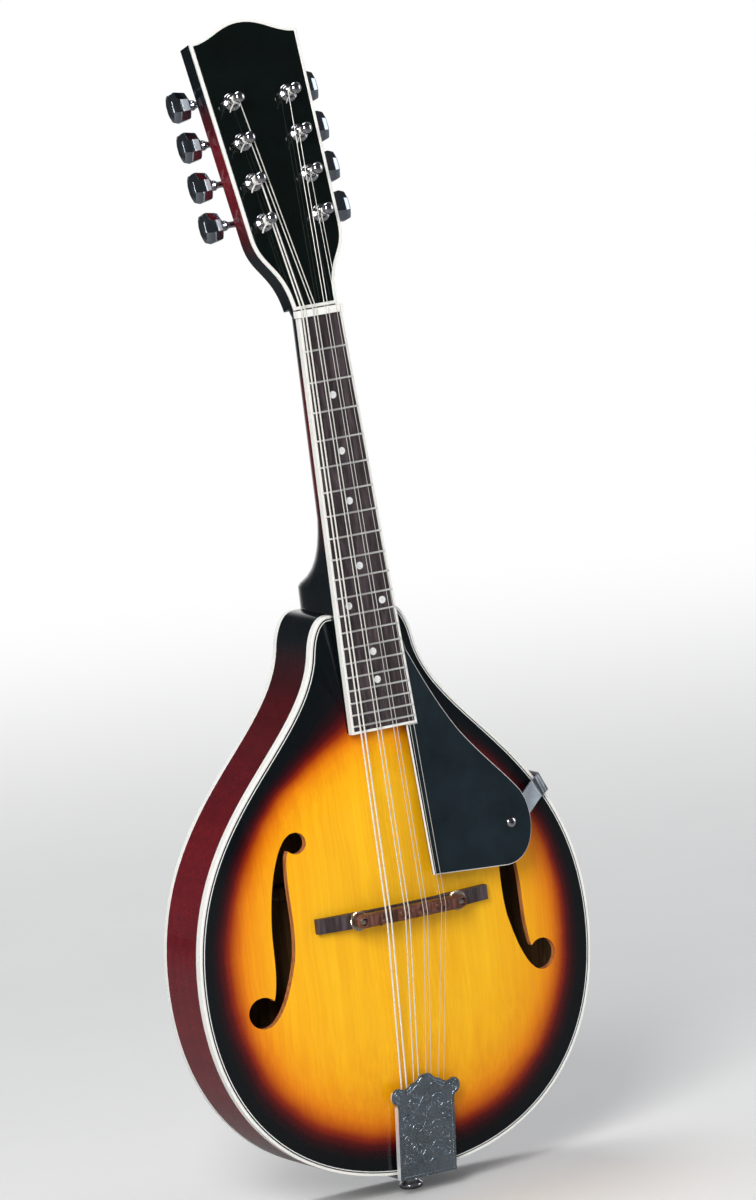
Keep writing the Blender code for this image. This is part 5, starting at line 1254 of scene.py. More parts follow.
def build_nut():
    """Nut with a slot for each string and a rounded back edge."""
    edge = NUT_WIDTH / 2.0
    crest = [(-edge, -BOARD_THICKNESS), (-edge, NUT_TOP - 0.9), (-edge + 0.25, NUT_TOP - 0.3),
             (-edge + 0.9, NUT_TOP)]
    for gauge, x in zip(STRING_GAUGES, STRINGS_AT_NUT):
        half = gauge / 2.0 + 0.15
        crest += [(x - half - 0.12, NUT_TOP), (x - half, NUT_SLOT_FLOOR), (x + half, NUT_SLOT_FLOOR),
                  (x + half + 0.12, NUT_TOP)]
    crest += [(edge - 0.9, NUT_TOP), (edge - 0.25, NUT_TOP - 0.3), (edge, NUT_TOP - 0.9),
              (edge, -BOARD_THICKNESS)]
    front = JOIN_FROM_NUT + GLUE_LINE
    loops = []
    for share, lower in ((0.0, 0.12), (0.05, 0.0), (0.6, 0.05), (0.9, 0.3), (1.0, 0.7)):
        loops.append([(x, out if out <= 0.0 else out - lower, front + NUT_LENGTH * share)
                      for x, out in crest])
    make("slotted_nut", NECK, lofted(loops), "ivory_binding", "nut", main=True, smooth=40.0)


# Tuners

def gear_mesh():
    """Skew-cut gear teeth with relieved flanks."""
    pitch = math.tau / GEAR_TEETH
    tip = GEAR_RADIUS + TOOTH_ADDENDUM
    root = GEAR_RADIUS - TOOTH_DEDENDUM
    half = pitch * TOOTH_SHARE / 2.0
    corners = []
    for tooth in range(GEAR_TEETH):
        middle = tooth * pitch
        corners += [(middle + half * share, radius) for share, radius in (
            (-FLANK_SHARE, root), (-0.95, (root + tip) / 2.0), (-0.55, tip), (0.55, tip),
            (0.95, (root + tip) / 2.0), (FLANK_SHARE, root))]
    skew = 1.0 / (WORM_RADIUS * GEAR_TEETH)
    loops = []
    for offset, shrink in ((-GEAR_THICKNESS / 2.0, 0.12), (-GEAR_THICKNESS / 2.0 + 0.2, 0.0),
                           (GEAR_THICKNESS / 2.0 - 0.2, 0.0), (GEAR_THICKNESS / 2.0, 0.12)):
        loops.append([((r - shrink) * math.sin(a - skew * offset), offset,
                       (r - shrink) * math.cos(a - skew * offset)) for a, r in corners])
    return lofted(loops)


def post_shape():
    """Turned post with a waist for the string and a ball-like cap, from its gear up."""
    level = -GEAR_LEVEL
    foot = POST_WAIST_RADIUS - 0.3
    profile = [(foot, -GEAR_THICKNESS / 2.0 - 0.2), (foot, 1.0), (POST_RADIUS, 1.8),
               (POST_RADIUS, level + 2.6), (POST_RADIUS - 0.15, level + 3.0),
               (POST_WAIST_RADIUS + 0.25, level + 3.35),
               (POST_WAIST_RADIUS, level + 3.8), (POST_WAIST_RADIUS, level + POST_CAP_FLOOR - 0.5)]
    middle = level + (POST_CAP_FLOOR + POST_TOP) / 2.0
    tall = (POST_TOP - POST_CAP_FLOOR) / 2.0 + 0.45
    cap = POST_RADIUS + 0.65
    for k in range(1, 12):
        angle = -math.pi / 2.0 + math.pi * (k + 0.6) / 12.6
        profile.append((max(0.3, cap * math.cos(angle) ** 0.85), middle + tall * math.sin(angle)))
    return turned(profile, 40, "out")


def ferrule_shape():
    profile = [(3.2, -5.0), (4.1, -5.0), (4.1, 0.02), (5.5, 0.02), (5.55, 0.5), (5.35, 0.95), (4.9, 1.2),
               (4.35, 1.45), (3.95, 1.9), (3.6, 2.2), (3.25, 2.15)]
    return turned(profile, 40, "out", closed=True)


def worm_shape(steps=24):
    """Right-hand worm thread on its core, cut as closed rings that follow the helix."""
    crest = WORM_RADIUS + TOOTH_ADDENDUM
    root = WORM_RADIUS - TOOTH_DEDENDUM
    half = THREAD_PITCH * TOOTH_SHARE / 2.0
    foot = half * FLANK_SHARE
    core = SHAFT_RADIUS * 0.5
    profile = [(-foot, core), (-foot, root), (-half * 0.55, crest), (half * 0.55, crest), (foot, root),
               (foot, core)]
    rows = (WORM_TURNS + 1) * steps + 1
    loops = []
    for step in range(rows):
        middle = THREAD_PITCH * (step / steps - (WORM_TURNS + 1) / 2.0)
        angle = math.tau * (middle / THREAD_PITCH + 0.5)
        fade = min(1.0, (step + 1) / (steps * 0.4), (rows - step) / (steps * 0.4))
        loop = []
        for shift, radius in profile:
            r = core + (radius - core) * fade
            loop.append((middle + shift, -r * math.sin(angle), -r * math.cos(angle)))
        loops.append(loop)
    return gathered([lofted(loops), rod(root, -WORM_HALF, WORM_HALF, 32, "x")])


def button_shape(side):
    """Octagonal button with a domed, many-sided body and softened corners."""
    centre = side * (BUTTON_FROM_CENTRE[side] - POST_SPREAD / 2.0)
    near = centre - side * BUTTON_LENGTH / 2.0
    loops = []
    for share, thick, wide in ((0.0, 0.46, 0.28), (0.03, 0.62, 0.42), (0.16, 0.92, 0.84), (0.2, 0.95, 0.88),
                               (0.63, 1.0, 1.0), (0.68, 1.0, 1.0), (0.88, 0.84, 0.90), (0.92, 0.78, 0.86),
                               (1.0, 0.5, 0.62)):
        loop = []
        for k in range(8):
            angle = math.tau * (k + 0.5) / 8.0
            flat = 1.0 / math.cos(math.pi / 8.0)
            loop.append((near + side * BUTTON_LENGTH * share,
                         BUTTON_THICKNESS / 2.0 * thick * flat * math.cos(angle) * 0.96,
                         BUTTON_WIDTH / 2.0 * wide * flat * math.sin(angle) * 0.96))
        loops.append(loop)
    return lofted(loops)


def shaft_shape(side):
    """Shaft through both ears, with a turned collar against the button."""
    stub = WORM_HALF + 0.6 + EAR_THICKNESS + 0.5
    near = BUTTON_FROM_CENTRE[side] - POST_SPREAD / 2.0 - BUTTON_LENGTH / 2.0
    rod = [(-0.3 * SHAFT_RADIUS, -stub - 0.2), (0.0, -stub), (0.0, stub + 0.6), (0.45, stub + 0.9),
           (0.35, near - 4.2), (0.7, near - 3.4), (1.1, near - 2.6), (1.6, near - 1.8), (1.6, near - 0.9),
           (0.8, near - 0.3), (0.5, near + 0.8)]
    return turned([(SHAFT_RADIUS + more, side * x) for more, x in rod], 32, "x")


def screw_shape(at, radius, head):
    """A screw's domed head, on the plane at the given height."""
    x, out, up = at
    return turned([(radius * 0.45, out + head * 0.4), (radius, out), (radius, out - head * 0.35),
                   (radius * 0.92, out - head * 0.62), (radius * 0.7, out - head * 0.86),
                   (radius * 0.35, out - head), (0.02, out - head * 1.02)], 28, "out", (x, 0.0, up))


def build_tuners():
    """Two plates of four worm-geared tuners, with their posts, ferrules and buttons."""
    places = post_places()
    worm_half = WORM_HALF + 0.3
    low = FIRST_POST_UP - 9.0
    high = FIRST_POST_UP + 3 * POST_PITCH + WORM_OFFSET + 8.0
    for side, node in ((-1.0, "bass_tuner_plate"), (1.0, "treble_tuner_plate")):
        x = side * POST_SPREAD / 2.0
        half = PLATE_WIDTH / 2.0
        right, left, top, bottom = x + half - 3.0, x - half + 3.0, high - 3.0, low + 3.0
        outline = ([(x + half, bottom), (x + half, top)] + circle((right, top), 3.0, 24)[1:7]
                   + [(left, high)] + circle((left, top), 3.0, 24)[7:13]
                   + [(x - half, bottom)] + circle((left, bottom), 3.0, 24)[13:19]
                   + circle((right, bottom), 3.0, 24)[19:24])
        sheet = slab(outline, PLATE_BACK, HEAD_BACK - GLUE_LINE)
        plate = formed(f"plate_of_{node}", HEAD, sheet, "plated_chrome")
        ears, bores = [], []
        for post_side, post_x, up in places:
            if post_side != side:
                continue
            level = up + WORM_OFFSET
            for sign in (-1.0, 1.0):
                near = post_x + sign * (worm_half + 0.3)
                far = near + sign * EAR_THICKNESS
                tip = GEAR_LEVEL - SHAFT_RADIUS - 1.6
                round_end = [(level + EAR_WIDTH / 2.0 * math.cos(a), tip + 2.4 - 2.4 * math.sin(a))
                             for a in (math.pi * k / 10.0 for k in range(11))]
                shape = [(level + end * EAR_WIDTH / 2.0, PLATE_BACK + 0.4) for end in (-1.0, 1.0)]
                ears.append(across(shape + round_end, min(near, far), max(near, far)))
            reach = worm_half + EAR_THICKNESS + 1.0
            bores.append(rod(EAR_BORE_RADIUS, -reach, reach, 28, "x",
                                (post_x, GEAR_LEVEL, level)))
            bores.append(rod(PLATE_HOLE_RADIUS, PLATE_BACK - 1.0, HEAD_BACK + 1.0, 32,
                                "out", (post_x, 0.0, up)))
        carve(plate, HEAD, ears, operation="UNION")
        carve(plate, HEAD, bores)
        soften(plate, 0.12)
        finish_piece(plate, node, main=True)
        fasteners = [screw_shape((x + dx, PLATE_BACK, up), 1.7, 1.1) for dx in (-3.6, 3.6)
                     for up in (low + 2.8, high - 2.8)]
        fasteners += [screw_shape((x, PLATE_BACK, FIRST_POST_UP + (k + 0.62) * POST_PITCH), 1.7, 1.1)
                      for k in range(3)]
        make(f"plate_screws_of_{node}", HEAD, gathered(fasteners), "fret_wire", node)
    gear, post, ferrule, worm = gear_mesh(), post_shape(), ferrule_shape(), worm_shape()
    for number, (side, x, up) in enumerate(places, start=1):
        post_body, post_node = f"post_{number}", f"geared_post_{number}"
        knob_body, knob_node = f"knob_{number}", f"tuner_knob_{number}"
        at_gear = HEAD @ shifted(x, GEAR_LEVEL, up)
        stem = formed(f"string_post_{number}", at_gear, post, "plated_chrome", 40.0)
        carve(stem, at_gear, [hole_through()])
        shade(stem.data, 40.0)
        finish_piece(stem, post_node, post_body, True)
        make(f"post_gear_{number}", at_gear, gear, "wheel_metal", post_node, post_body)
        make(f"gear_screw_{number}", at_gear, screw_shape((0.0, -GEAR_THICKNESS / 2.0, 0.0), 1.6, 1.2),
             "fret_wire", post_node, post_body)
        make(f"ferrule_{number}", HEAD @ shifted(x, 0.0, up), ferrule, "plated_chrome",
             f"post_ferrule_{number}", main=True, smooth=50.0)
        at_worm = HEAD @ shifted(x, GEAR_LEVEL, up + WORM_OFFSET)
        shaft = gathered([worm, shaft_shape(side)])
        make(f"worm_and_shaft_{number}", at_worm, shaft, "plated_chrome", knob_node, knob_body,
             smooth=40.0)
        make(f"button_{number}", at_worm, button_shape(side), "button_chrome", knob_node, knob_body,
             True, 20.0, 0.35)


def hole_through():
    """The string's hole, across the post's waist on the slant that the strings leave by."""
    away = math.radians(225.0)
    reach = POST_RADIUS + 1.0
    loops = []
    for sign in (-1.0, 1.0):
        centre = (sign * reach * math.cos(away), sign * reach * math.sin(away))
        loops.append([(centre[0] - a * math.sin(away), STRING_HOLE_UP - GEAR_LEVEL + b,
                       centre[1] + a * math.cos(away)) for a, b in circle((0.0, 0.0), 0.95, 16)])
    return lofted(loops)


# Bridge

def saddle_crest():
    """How far out of the body the strings cross the bridge."""
    return between(NECK, BODY, (0.0, STRING_RISE, JOIN_FROM_NUT - SCALE_LENGTH))[1]


def stadium(length, width, steps=14):
    """A bar with round ends, seen from the front."""
    half = (length - width) / 2.0
    radius = width / 2.0
    right = [(half + radius * math.cos(a), radius * math.sin(a))
             for a in (math.pi / 2.0 - math.pi * k / steps for k in range(steps + 1))]
    return right + [(-x, -y) for x, y in right]


def build_bridge():
    """Base fitted to the arch, two studs with their thumbwheels, and the compensated saddle."""
    half = BRIDGE_LENGTH / 2.0
    xs = np.linspace(-half, half, 61)
    foot = arch_height(xs, np.full_like(xs, BRIDGE_UP)) + 0.1
    relief = 1.4 * np.clip((half * 0.47 - np.abs(xs)) / 3.0, 0.0, 1.0)
    lower = [(x, out) for x, out in zip(xs, foot + relief)]
    flat = SADDLE_LENGTH / 2.0 + 2.0
    upper = [(half, BRIDGE_END_TOP), (flat + 4.0, BRIDGE_TOP - 1.2), (flat + 1.0, BRIDGE_TOP - 0.15),
             (flat - 1.0, BRIDGE_TOP), (-flat + 1.0, BRIDGE_TOP), (-flat - 1.0, BRIDGE_TOP - 0.15),
             (-flat - 4.0, BRIDGE_TOP - 1.2), (-half, BRIDGE_END_TOP)]
    loops = [[(x, out, BRIDGE_UP + side) for x, out in lower + upper] for side in (-4.5, 4.5)]
    base = make("bridge_foot", BODY, lofted(loops), "rosewood_bridge", "bridge_base", main=True, soft=0.45)
    base.modifiers["soft_edges"].angle_limit = math.radians(50.0)
    studs = []
    for sign in (-1.0, 1.0):
        profile = [(STUD_RADIUS, BRIDGE_TOP - 1.0)]
        out = BRIDGE_TOP - 0.5
        while out < STUD_TOP - 0.5:
            profile += [(STUD_RADIUS, out), (STUD_RADIUS - 0.22, out + 0.35)]
            out += STUD_PITCH
        profile += [(STUD_RADIUS - 0.3, STUD_TOP - 0.1), (STUD_RADIUS - 0.6, STUD_TOP)]
        studs.append(turned(profile, 28, "out", (sign * STUD_SPREAD / 2.0, 0.0, BRIDGE_UP)))
    make("bridge_studs", BODY, gathered(studs), "wheel_metal", "bass_thumbwheel")
    for sign, side in ((-1.0, "bass"), (1.0, "treble")):
        make(f"{side}_height_wheel", BODY @ shifted(sign * STUD_SPREAD / 2.0, WHEEL_LOW, BRIDGE_UP),
             wheel_shape(settings().sizes.wheel_knurls), "wheel_metal", f"{side}_thumbwheel",
             f"{side}_wheel", True, 25.0)
    build_saddle()


def wheel_shape(knurls):
    """Knurled disc with a bevelled rim and a bore for its stud."""
    rim, bore = [], []
    for k in range(knurls * 2):
        angle = math.tau * k / (knurls * 2)
        rim.append((angle, WHEEL_RADIUS if k % 2 == 0 else WHEEL_RADIUS - 0.28))
        bore.append((angle, STUD_RADIUS + 0.25))
    loops = []
    for ring, shrink, out in ((bore, 0.0, 0.0), (rim, 0.45, 0.0), (rim, 0.0, 0.3),
                              (rim, 0.0, WHEEL_THICKNESS - 0.3), (rim, 0.45, WHEEL_THICKNESS),
                              (bore, 0.0, WHEEL_THICKNESS)):
        loops.append([((r - shrink) * math.cos(a), out, (r - shrink) * math.sin(a)) for a, r in ring])
    return lofted(loops, True)


def build_saddle():
    crest = saddle_crest()
    bar_top = crest - 2.6
    loops = []
    for out, length, width in ((SADDLE_LOW, SADDLE_LENGTH - 0.8, SADDLE_WIDTH - 0.8),
                               (SADDLE_LOW + 0.4, SADDLE_LENGTH, SADDLE_WIDTH),
                               (bar_top - 1.8, SADDLE_LENGTH, SADDLE_WIDTH),
                               (bar_top - 0.7, SADDLE_LENGTH - 1.0, SADDLE_WIDTH - 0.8),
                               (bar_top, SADDLE_LENGTH - 3.0, SADDLE_WIDTH - 2.6)):
        loops.append([(x, out, BRIDGE_UP + up) for x, up in stadium(length, width)])
    saddle = formed("compensated_saddle", BODY, lofted(loops), "rosewood_saddle", 40.0)
    courses = []
    for pair, shift in enumerate(COMPENSATION):
        left = STRINGS_AT_BRIDGE[2 * pair] - 2.6
        right = STRINGS_AT_BRIDGE[2 * pair + 1] + 2.6
        middle = BRIDGE_UP + shift
        loops = []
        for x, lower, wide in ((left, 1.6, 1.5), (left + 0.8, 0.4, 1.15), (left + 1.7, 0.0, 1.0),
                               (right - 1.7, 0.0, 1.0), (right - 0.8, 0.4, 1.15), (right, 1.6, 1.5)):
            rise = [(bar_top - 1.2, 2.1 * wide), (bar_top + 0.3, 1.7 * wide),
                    (crest - 0.8 - lower * 0.6, 0.95), (crest - lower, 0.35)]
            loops.append([(x, out, middle - reach) for out, reach in rise]
                         + [(x, out, middle + reach) for out, reach in reversed(rise)])
        courses.append(lofted(loops))
    carve(saddle, BODY, courses, operation="UNION")
    cuts = [rod(STUD_RADIUS + 0.25, SADDLE_LOW - 1.0, crest + 1.0, 32, "out",
                   (sign * STUD_SPREAD / 2.0, 0.0, BRIDGE_UP)) for sign in (-1.0, 1.0)]
    for gauge, x in zip(STRING_GAUGES, STRINGS_AT_BRIDGE):
        half = gauge / 2.0 + 0.08
        notch = [(crest + 1.0, -half - 0.4), (crest - 0.02, -half), (crest - 0.02, half),
                 (crest + 1.0, half + 0.4)]
        cuts.append(lofted([[(x + b, out, BRIDGE_UP + up) for out, b in notch] for up in (-5.0, 5.0)]))
    carve(saddle, BODY, cuts)
    shade(saddle.data, 38.0)
    soften(saddle, 0.22, 2, 40.0)
    finish_piece(saddle, "bridge_saddle", "saddle", True)


# Pickguard

def guard_outline():
    """The pickguard from the fretboard's side, round its tip and back, as (x, up) of the neck's frame."""
    end = BOARD_LENGTH - JOIN_FROM_NUT
    inner = board_half_width(BOARD_LENGTH) + 0.3
    tip = board_half_width(JOIN_FROM_NUT + 18.0) + 0.3
    edge = curve((tip + 2.2, -26.0), ((29.5, -42.0), (38.0, -62.0), (49.6, -79.5), 15),
                 ((62.0, -97.0), (75.0, -109.0), (83.5, -121.0), 12),
                 ((92.5, -136.0), (88.0, -163.9), (68.0, -163.9), 24))
    return ([(tip, -18.0), (tip + 0.8, -18.0)] + edge
            + [(68.0, -163.9), (18.3, -160.6), (15.6, -end - 0.3), (inner, -end - 0.3)])


def build_pickguard():
    """Layered floating pickguard with its bent bracket and its screw."""
    outline = guard_outline()
    low = GUARD_TOP - GUARD_THICKNESS
    for name, depth, bottom, top, finish, main in (
            ("guard_face_ply", 0.55, GUARD_TOP - 0.7, GUARD_TOP, "guard_face", True),
            ("guard_white_ply", 0.0, low + 0.7, GUARD_TOP - 0.7, "guard_edge", False),
            ("guard_back_ply", 0.0, low, low + 0.7, "guard_face", False)):
        ring = inset(outline, depth) if depth else outline
        ply = formed(name, NECK, slab(ring, bottom, top), finish)
        bore = rod(GUARD_BORE_RADIUS, low - 2.0, 4.0, 32, "out",
                      (GUARD_SCREW[0], 0.0, GUARD_SCREW[1]))
        carve(ply, NECK, [bore])
        soften(ply, 0.28 if depth else 0.12)
        finish_piece(ply, "pickguard", main=main)
    bevel_strip = [(0.0, GUARD_TOP - 0.72), (0.6, GUARD_TOP - 0.72), (0.6, GUARD_TOP - 0.12),
                   (0.5, GUARD_TOP - 0.12)]
    make("guard_bevel", NECK, hoop(outline, bevel_strip), "guard_edge", "pickguard")
    build_bracket()
    x, up = GUARD_SCREW
    dome = [(1.4, low - 2.6), (1.4, GUARD_TOP + 0.05), (3.1, GUARD_TOP + 0.05), (3.1, GUARD_TOP + 0.5),
            (2.85, GUARD_TOP + 0.95), (2.2, GUARD_TOP + 1.35), (1.2, GUARD_TOP + 1.6),
            (0.3, GUARD_TOP + 1.66)]
    head = formed("guard_screw", NECK, turned(dome, 40, "out", (x, 0.0, up)), "plated_chrome", 30.0)
    arms = []
    for turn in (0.35, 0.35 + math.pi / 2.0):
        along = (math.cos(turn), math.sin(turn))
        loops = []
        for out, long, thin in ((GUARD_TOP + 0.7, 0.8, 0.2), (GUARD_TOP + 2.2, 1.75, 0.38)):
            loops.append([(x + along[0] * a * long - along[1] * b * thin, out,
                           up + along[1] * a * long + along[0] * b * thin)
                          for a, b in ((-1, -1), (1, -1), (1, 1), (-1, 1))])
        arms.append(lofted(loops))
    carve(head, NECK, arms, surface("purfling_black"))
    shade(head.data, 35.0)
    finish_piece(head, "pickguard_screw", main=True)


def thick_line(path, thickness):
    """The outline of a bent sheet from the path of one face, in two dimensions."""
    other = []
    for k, here in enumerate(path):
        point = Vector(here)
        before = (point - Vector(path[k - 1])).normalized() if k else None
        after = (Vector(path[k + 1]) - point).normalized() if k + 1 < len(path) else None
        first, second = before or after, after or before
        normal_a = Vector((first.y, -first.x))
        normal_b = Vector((second.y, -second.x))
        step = (normal_a + normal_b) * (thickness / (1.0 + normal_a.dot(normal_b)))
        other.append((point.x + step.x, point.y + step.y))
    return path + other[::-1]


def rounded_corner(path, radius, steps=5):
    """A two-dimensional path with its inner corners rounded."""
    found = [path[0]]
    for before, here, after in zip(path, path[1:], path[2:]):
        corner = Vector(here)
        back = Vector(before) - corner
        ahead = Vector(after) - corner
        reach = min(radius, back.length * 0.45, ahead.length * 0.45)
        start = corner + back.normalized() * reach
        end = corner + ahead.normalized() * reach
        for k in range(steps + 1):
            t = k / steps
            point = start * (1 - t) ** 2 + corner * 2 * t * (1 - t) + end * t ** 2
            found.append((point.x, point.y))
    return found + [path[-1]]


def build_bracket():
    """Satin strip from under the pickguard, over the edge and down the side."""
    low = GUARD_TOP - GUARD_THICKNESS
    strip_top = low - 0.3
    at_screw = between(NECK, BODY, (GUARD_SCREW[0], strip_top, GUARD_SCREW[1]))
    along = Vector((math.cos(BRACKET_DIRECTION), -math.sin(BRACKET_DIRECTION)))
    start = Vector((at_screw[0], at_screw[2]))
    reach = 20.0
    while reach_share([start.x + along.x * reach], [start.y + along.y * reach])[0] < 0.9995:
        reach += 0.25
    height = at_screw[1]
    lean = math.tan(NECK_ANGLE) * along.y
    half = BRACKET_WIDTH / 2.0
    tilt = math.tan(NECK_ANGLE) * along.x * half
    outside = reach + 0.3 + BRACKET_THICKNESS + 1.6
    path = [(-5.0, height + 5.0 * lean), (8.0, height - 8.0 * lean), (reach - 4.0, 2.6 + BRACKET_THICKNESS),
            (outside, 1.2 + BRACKET_THICKNESS), (outside, -BRACKET_SIDE_LEG)]
    shape = thick_line(rounded_corner(path, 3.0), BRACKET_THICKNESS)
    side = Vector((-along.y, along.x))
    loops = []
    for sign in (-1.0, -0.98, 0.98, 1.0):
        flat = [min(1.0, max(0.0, (reach - 4.0 - r) / (reach - 12.0))) for r, out in shape]
        loops.append([(start.x + along.x * r + side.x * half * sign, out - tilt * sign * share,
                       start.y + along.y * r + side.y * half * sign) for (r, out), share in zip(shape, flat)])
    strip = formed("guard_bracket", BODY, lofted(loops), "satin_steel")
    hole = rod(GUARD_BORE_RADIUS, low - 8.0, low + 1.0, 28, "out",
                  (GUARD_SCREW[0], 0.0, GUARD_SCREW[1]))
    carve(strip, NECK, [hole])
    soften(strip, 0.2)
    finish_piece(strip, "pickguard_bracket", main=True)


# Tailpiece

def build_tailpiece():
    """Hooked base bent over the tail, its screws, the lift-off cover and the end pin."""
    half = BASE_WIDTH / 2.0
    tail = -BODY_LENGTH - BASE_GAP
    start = -303.0
    path = [(start, arch_height(0.0, start) + 0.3 + BASE_SHEET),
            (HOOK_UP, arch_height(0.0, HOOK_UP) + 0.5 + BASE_SHEET), (tail + 6.0, 1.3 + BASE_SHEET),
            (tail - BASE_SHEET, 0.3 + BASE_SHEET), (tail - BASE_SHEET, -34.0)]
    shape = thick_line(rounded_corner(path, 2.2)[::-1], BASE_SHEET)
    base = formed("tailpiece_plate", BODY, across(shape, -half, half), "plated_chrome", 30.0)
    bore = rod(END_PIN_BORE_RADIUS, tail - 4.0, tail + 4.0, 36, "up",
                  (0.0, END_PIN_OUT, 0.0))
    carve(base, BODY, [bore])
    soften(base, 0.25, 2, 50.0)
    finish_piece(base, "tailpiece_base", main=True)
    hook_low = arch_height(0.0, HOOK_UP) + 0.3 + BASE_SHEET * 0.5
    hooks = []
    for k in range(8):
        x = (k - 3.5) * HOOK_SPACING
        bend = [(x, hook_low + out, HOOK_UP - down)
                for out, down in ((0.0, 0.2), (2.2, 0.6), (3.6, 1.0), (4.3, 2.0))]
        hooks.append(tube(smooth_path(bend, 5), 0.62, 12))
    make("string_hooks", BODY, gathered(hooks), "plated_chrome", "tailpiece_base")
    dome = [(radius, tail - BASE_SHEET + up)
            for radius, up in ((0.8, 0.3), (2.6, -0.02), (2.5, -0.6), (1.8, -1.1), (0.4, -1.3))]
    screws = [turned(dome, 28, "up", (x, out, 0.0))
              for x, out in ((-11.5, -28.0), (11.5, -28.0), (0.0, -30.0))]
    make("tailpiece_screws", BODY, gathered(screws), "fret_wire", "tailpiece_base")
    seat = tail - BASE_SHEET - 0.05
    pin_tip = -BODY_LENGTH + RIM_THICKNESS + LINING_WIDTH + 14.0
    pin = [(4.0, pin_tip)] + [(radius, seat - down) for radius, down in (
        (4.0, -1.0), (4.0, 0.0), (6.5, 0.0), (6.6, 0.6), (6.1, 1.5), (5.0, 2.8), (4.5, 4.4), (4.9, 5.8),
        (6.0, 7.0), (7.0, 7.8), (7.2, 8.6), (7.0, 9.6), (6.5, 10.3), (6.2, 10.5))]
    make("strap_pin", BODY, turned(pin, 48, "up", (0.0, END_PIN_OUT, 0.0)), "plated_chrome",
         "end_pin", main=True, smooth=40.0)
    build_cover()


def cover_outline():
    """The cover's scalloped outline: a round ear at each shoulder and a peak in the middle."""
    peak = COVER_PEAK_LENGTH
    half = curve((0.0, peak), ((2.6, peak), (3.6, peak - 0.4), (5.0, peak - 2.2), 8),
                 ((6.2, peak - 3.9), (7.4, peak - 4.2), (9.4, peak - 4.6), 6),
                 ((11.6, peak - 5.6), (12.0, peak - 7.4), (15.0, peak - 7.4), 7))
    lobe = (COVER_HALF_WIDTH - 0.2, COVER_SIDE_LENGTH + 6.8)
    half += [(lobe[0] + 4.4 * math.cos(a), lobe[1] + 5.2 * math.sin(a))
             for a in (math.radians(125.0 - 12.0 * k) for k in range(18))]
    half += [(COVER_HALF_WIDTH, COVER_SIDE_LENGTH - 0.6), (COVER_HALF_WIDTH, 0.0)]
    return mirrored(half)


def scroll(centre, start_radius, start_angle, turns, sign, steps=34):
    """A flat spiral with a tapering line, as points and their radii."""
    points, radii = [], []
    for k in range(steps + 1):
        t = k / steps
        radius = start_radius * (1.0 - 0.82 * t)
        angle = start_angle + sign * math.tau * turns * t
        points.append((centre[0] + radius * math.cos(angle), RELIEF_OUT,
                       centre[1] + radius * math.sin(angle)))
        radii.append(0.30 * (1.0 - 0.35 * t))
    return points, radii


def cover_relief():
    """Leafy scrolls pressed into the cover, mirrored about its middle."""
    lines = []
    for sign in (-1.0, 1.0):
        for centre, radius, angle, turns, turn in (
                ((7.2, 46.5), 5.4, -1.4, 1.35, 1.0), ((12.6, 36.0), 4.4, 2.2, 1.3, -1.0),
                ((6.0, 30.5), 4.2, -0.6, 1.25, 1.0), ((12.2, 24.0), 4.0, 2.0, 1.3, -1.0),
                ((6.2, 17.6), 4.2, -0.5, 1.25, 1.0), ((12.6, 12.2), 3.6, 2.4, 1.2, -1.0),
                ((18.4, 52.6), 2.6, 2.6, 1.1, -1.0)):
            points, radii = scroll(centre, radius, angle, turns, turn)
            lines.append(([(sign * x, out, up) for x, out, up in points], radii))
        for leaf in (((3.0, 56.6), (5.6, 58.0), (8.8, 55.6), (12.4, 53.4)),
                     ((1.2, 41.0), (3.2, 43.6), (3.6, 46.8), (1.6, 50.0)),
                     ((1.0, 24.6), (2.6, 27.2), (2.4, 31.0), (1.0, 34.0)),
                     ((1.0, 8.6), (3.4, 10.4), (3.6, 13.6), (1.4, 16.4)),
                     ((15.8, 44.2), (14.2, 41.8), (15.2, 30.8), (16.4, 28.2)),
                     ((16.2, 19.0), (14.8, 17.6), (16.0, 9.0), (15.0, 6.6))):
            path = smooth_path([(sign * x, RELIEF_OUT, up) for x, up in leaf], 6)
            lines.append((path, [0.28 * math.sin(math.pi * (k + 1.5) / (len(path) + 2)) + 0.06
                                 for k in range(len(path))]))
    middle = [(0.0, RELIEF_OUT, up) for up in np.linspace(6.0, 59.0, 24)]
    lines.append((middle, [0.34] * 24))
    return gathered([tube(points, radii, 8) for points, radii in lines])


def build_cover():
    node = "tailpiece_cover"
    cover = formed("tailpiece_hood", COVER, slab(cover_outline(), 0.0, COVER_SHEET), "cover_chrome", 30.0)
    wide = COVER_HALF_WIDTH
    walls = []
    for left, right, length in ((-wide, -wide + COVER_SHEET, COVER_SIDE_LENGTH),
                                (wide - COVER_SHEET, wide, COVER_SIDE_LENGTH), (-wide, wide, COVER_SHEET)):
        corners = ((left, -COVER_FLANGE), (right, -COVER_FLANGE), (right, 0.5), (left, 0.5))
        walls.append(lofted([[(x, out, up) for x, out in corners] for up in (0.0, length)]))
    carve(cover, COVER, walls, operation="UNION")
    soften(cover, 0.35, 3, 50.0)
    # The outer side faces take the brighter satin finish, a painted reflection of the light along the
    # flanges.
    cover.data.materials.append(surface("cover_edge"))
    for face in cover.data.polygons:
        if abs(face.normal.x) > 0.8 and abs(face.center.x) > (COVER_HALF_WIDTH - 0.3) * MM:
            face.material_index = 1
    finish_piece(cover, node, "cover", True)
    make("hood_relief", COVER, cover_relief(), "cover_chrome", node, "cover", smooth=60.0)
    loops = []
    for a in (math.tau * k / 8.0 for k in range(8)):
        ring = inset(cover_outline(), 1.6 + 0.32 * math.cos(a))
        loops.append([(x, RELIEF_OUT + 0.32 * math.sin(a), up) for x, up in ring])
    make("hood_bead", COVER, lofted(loops, True), "cover_chrome", node, "cover", smooth=60.0)


# Strings

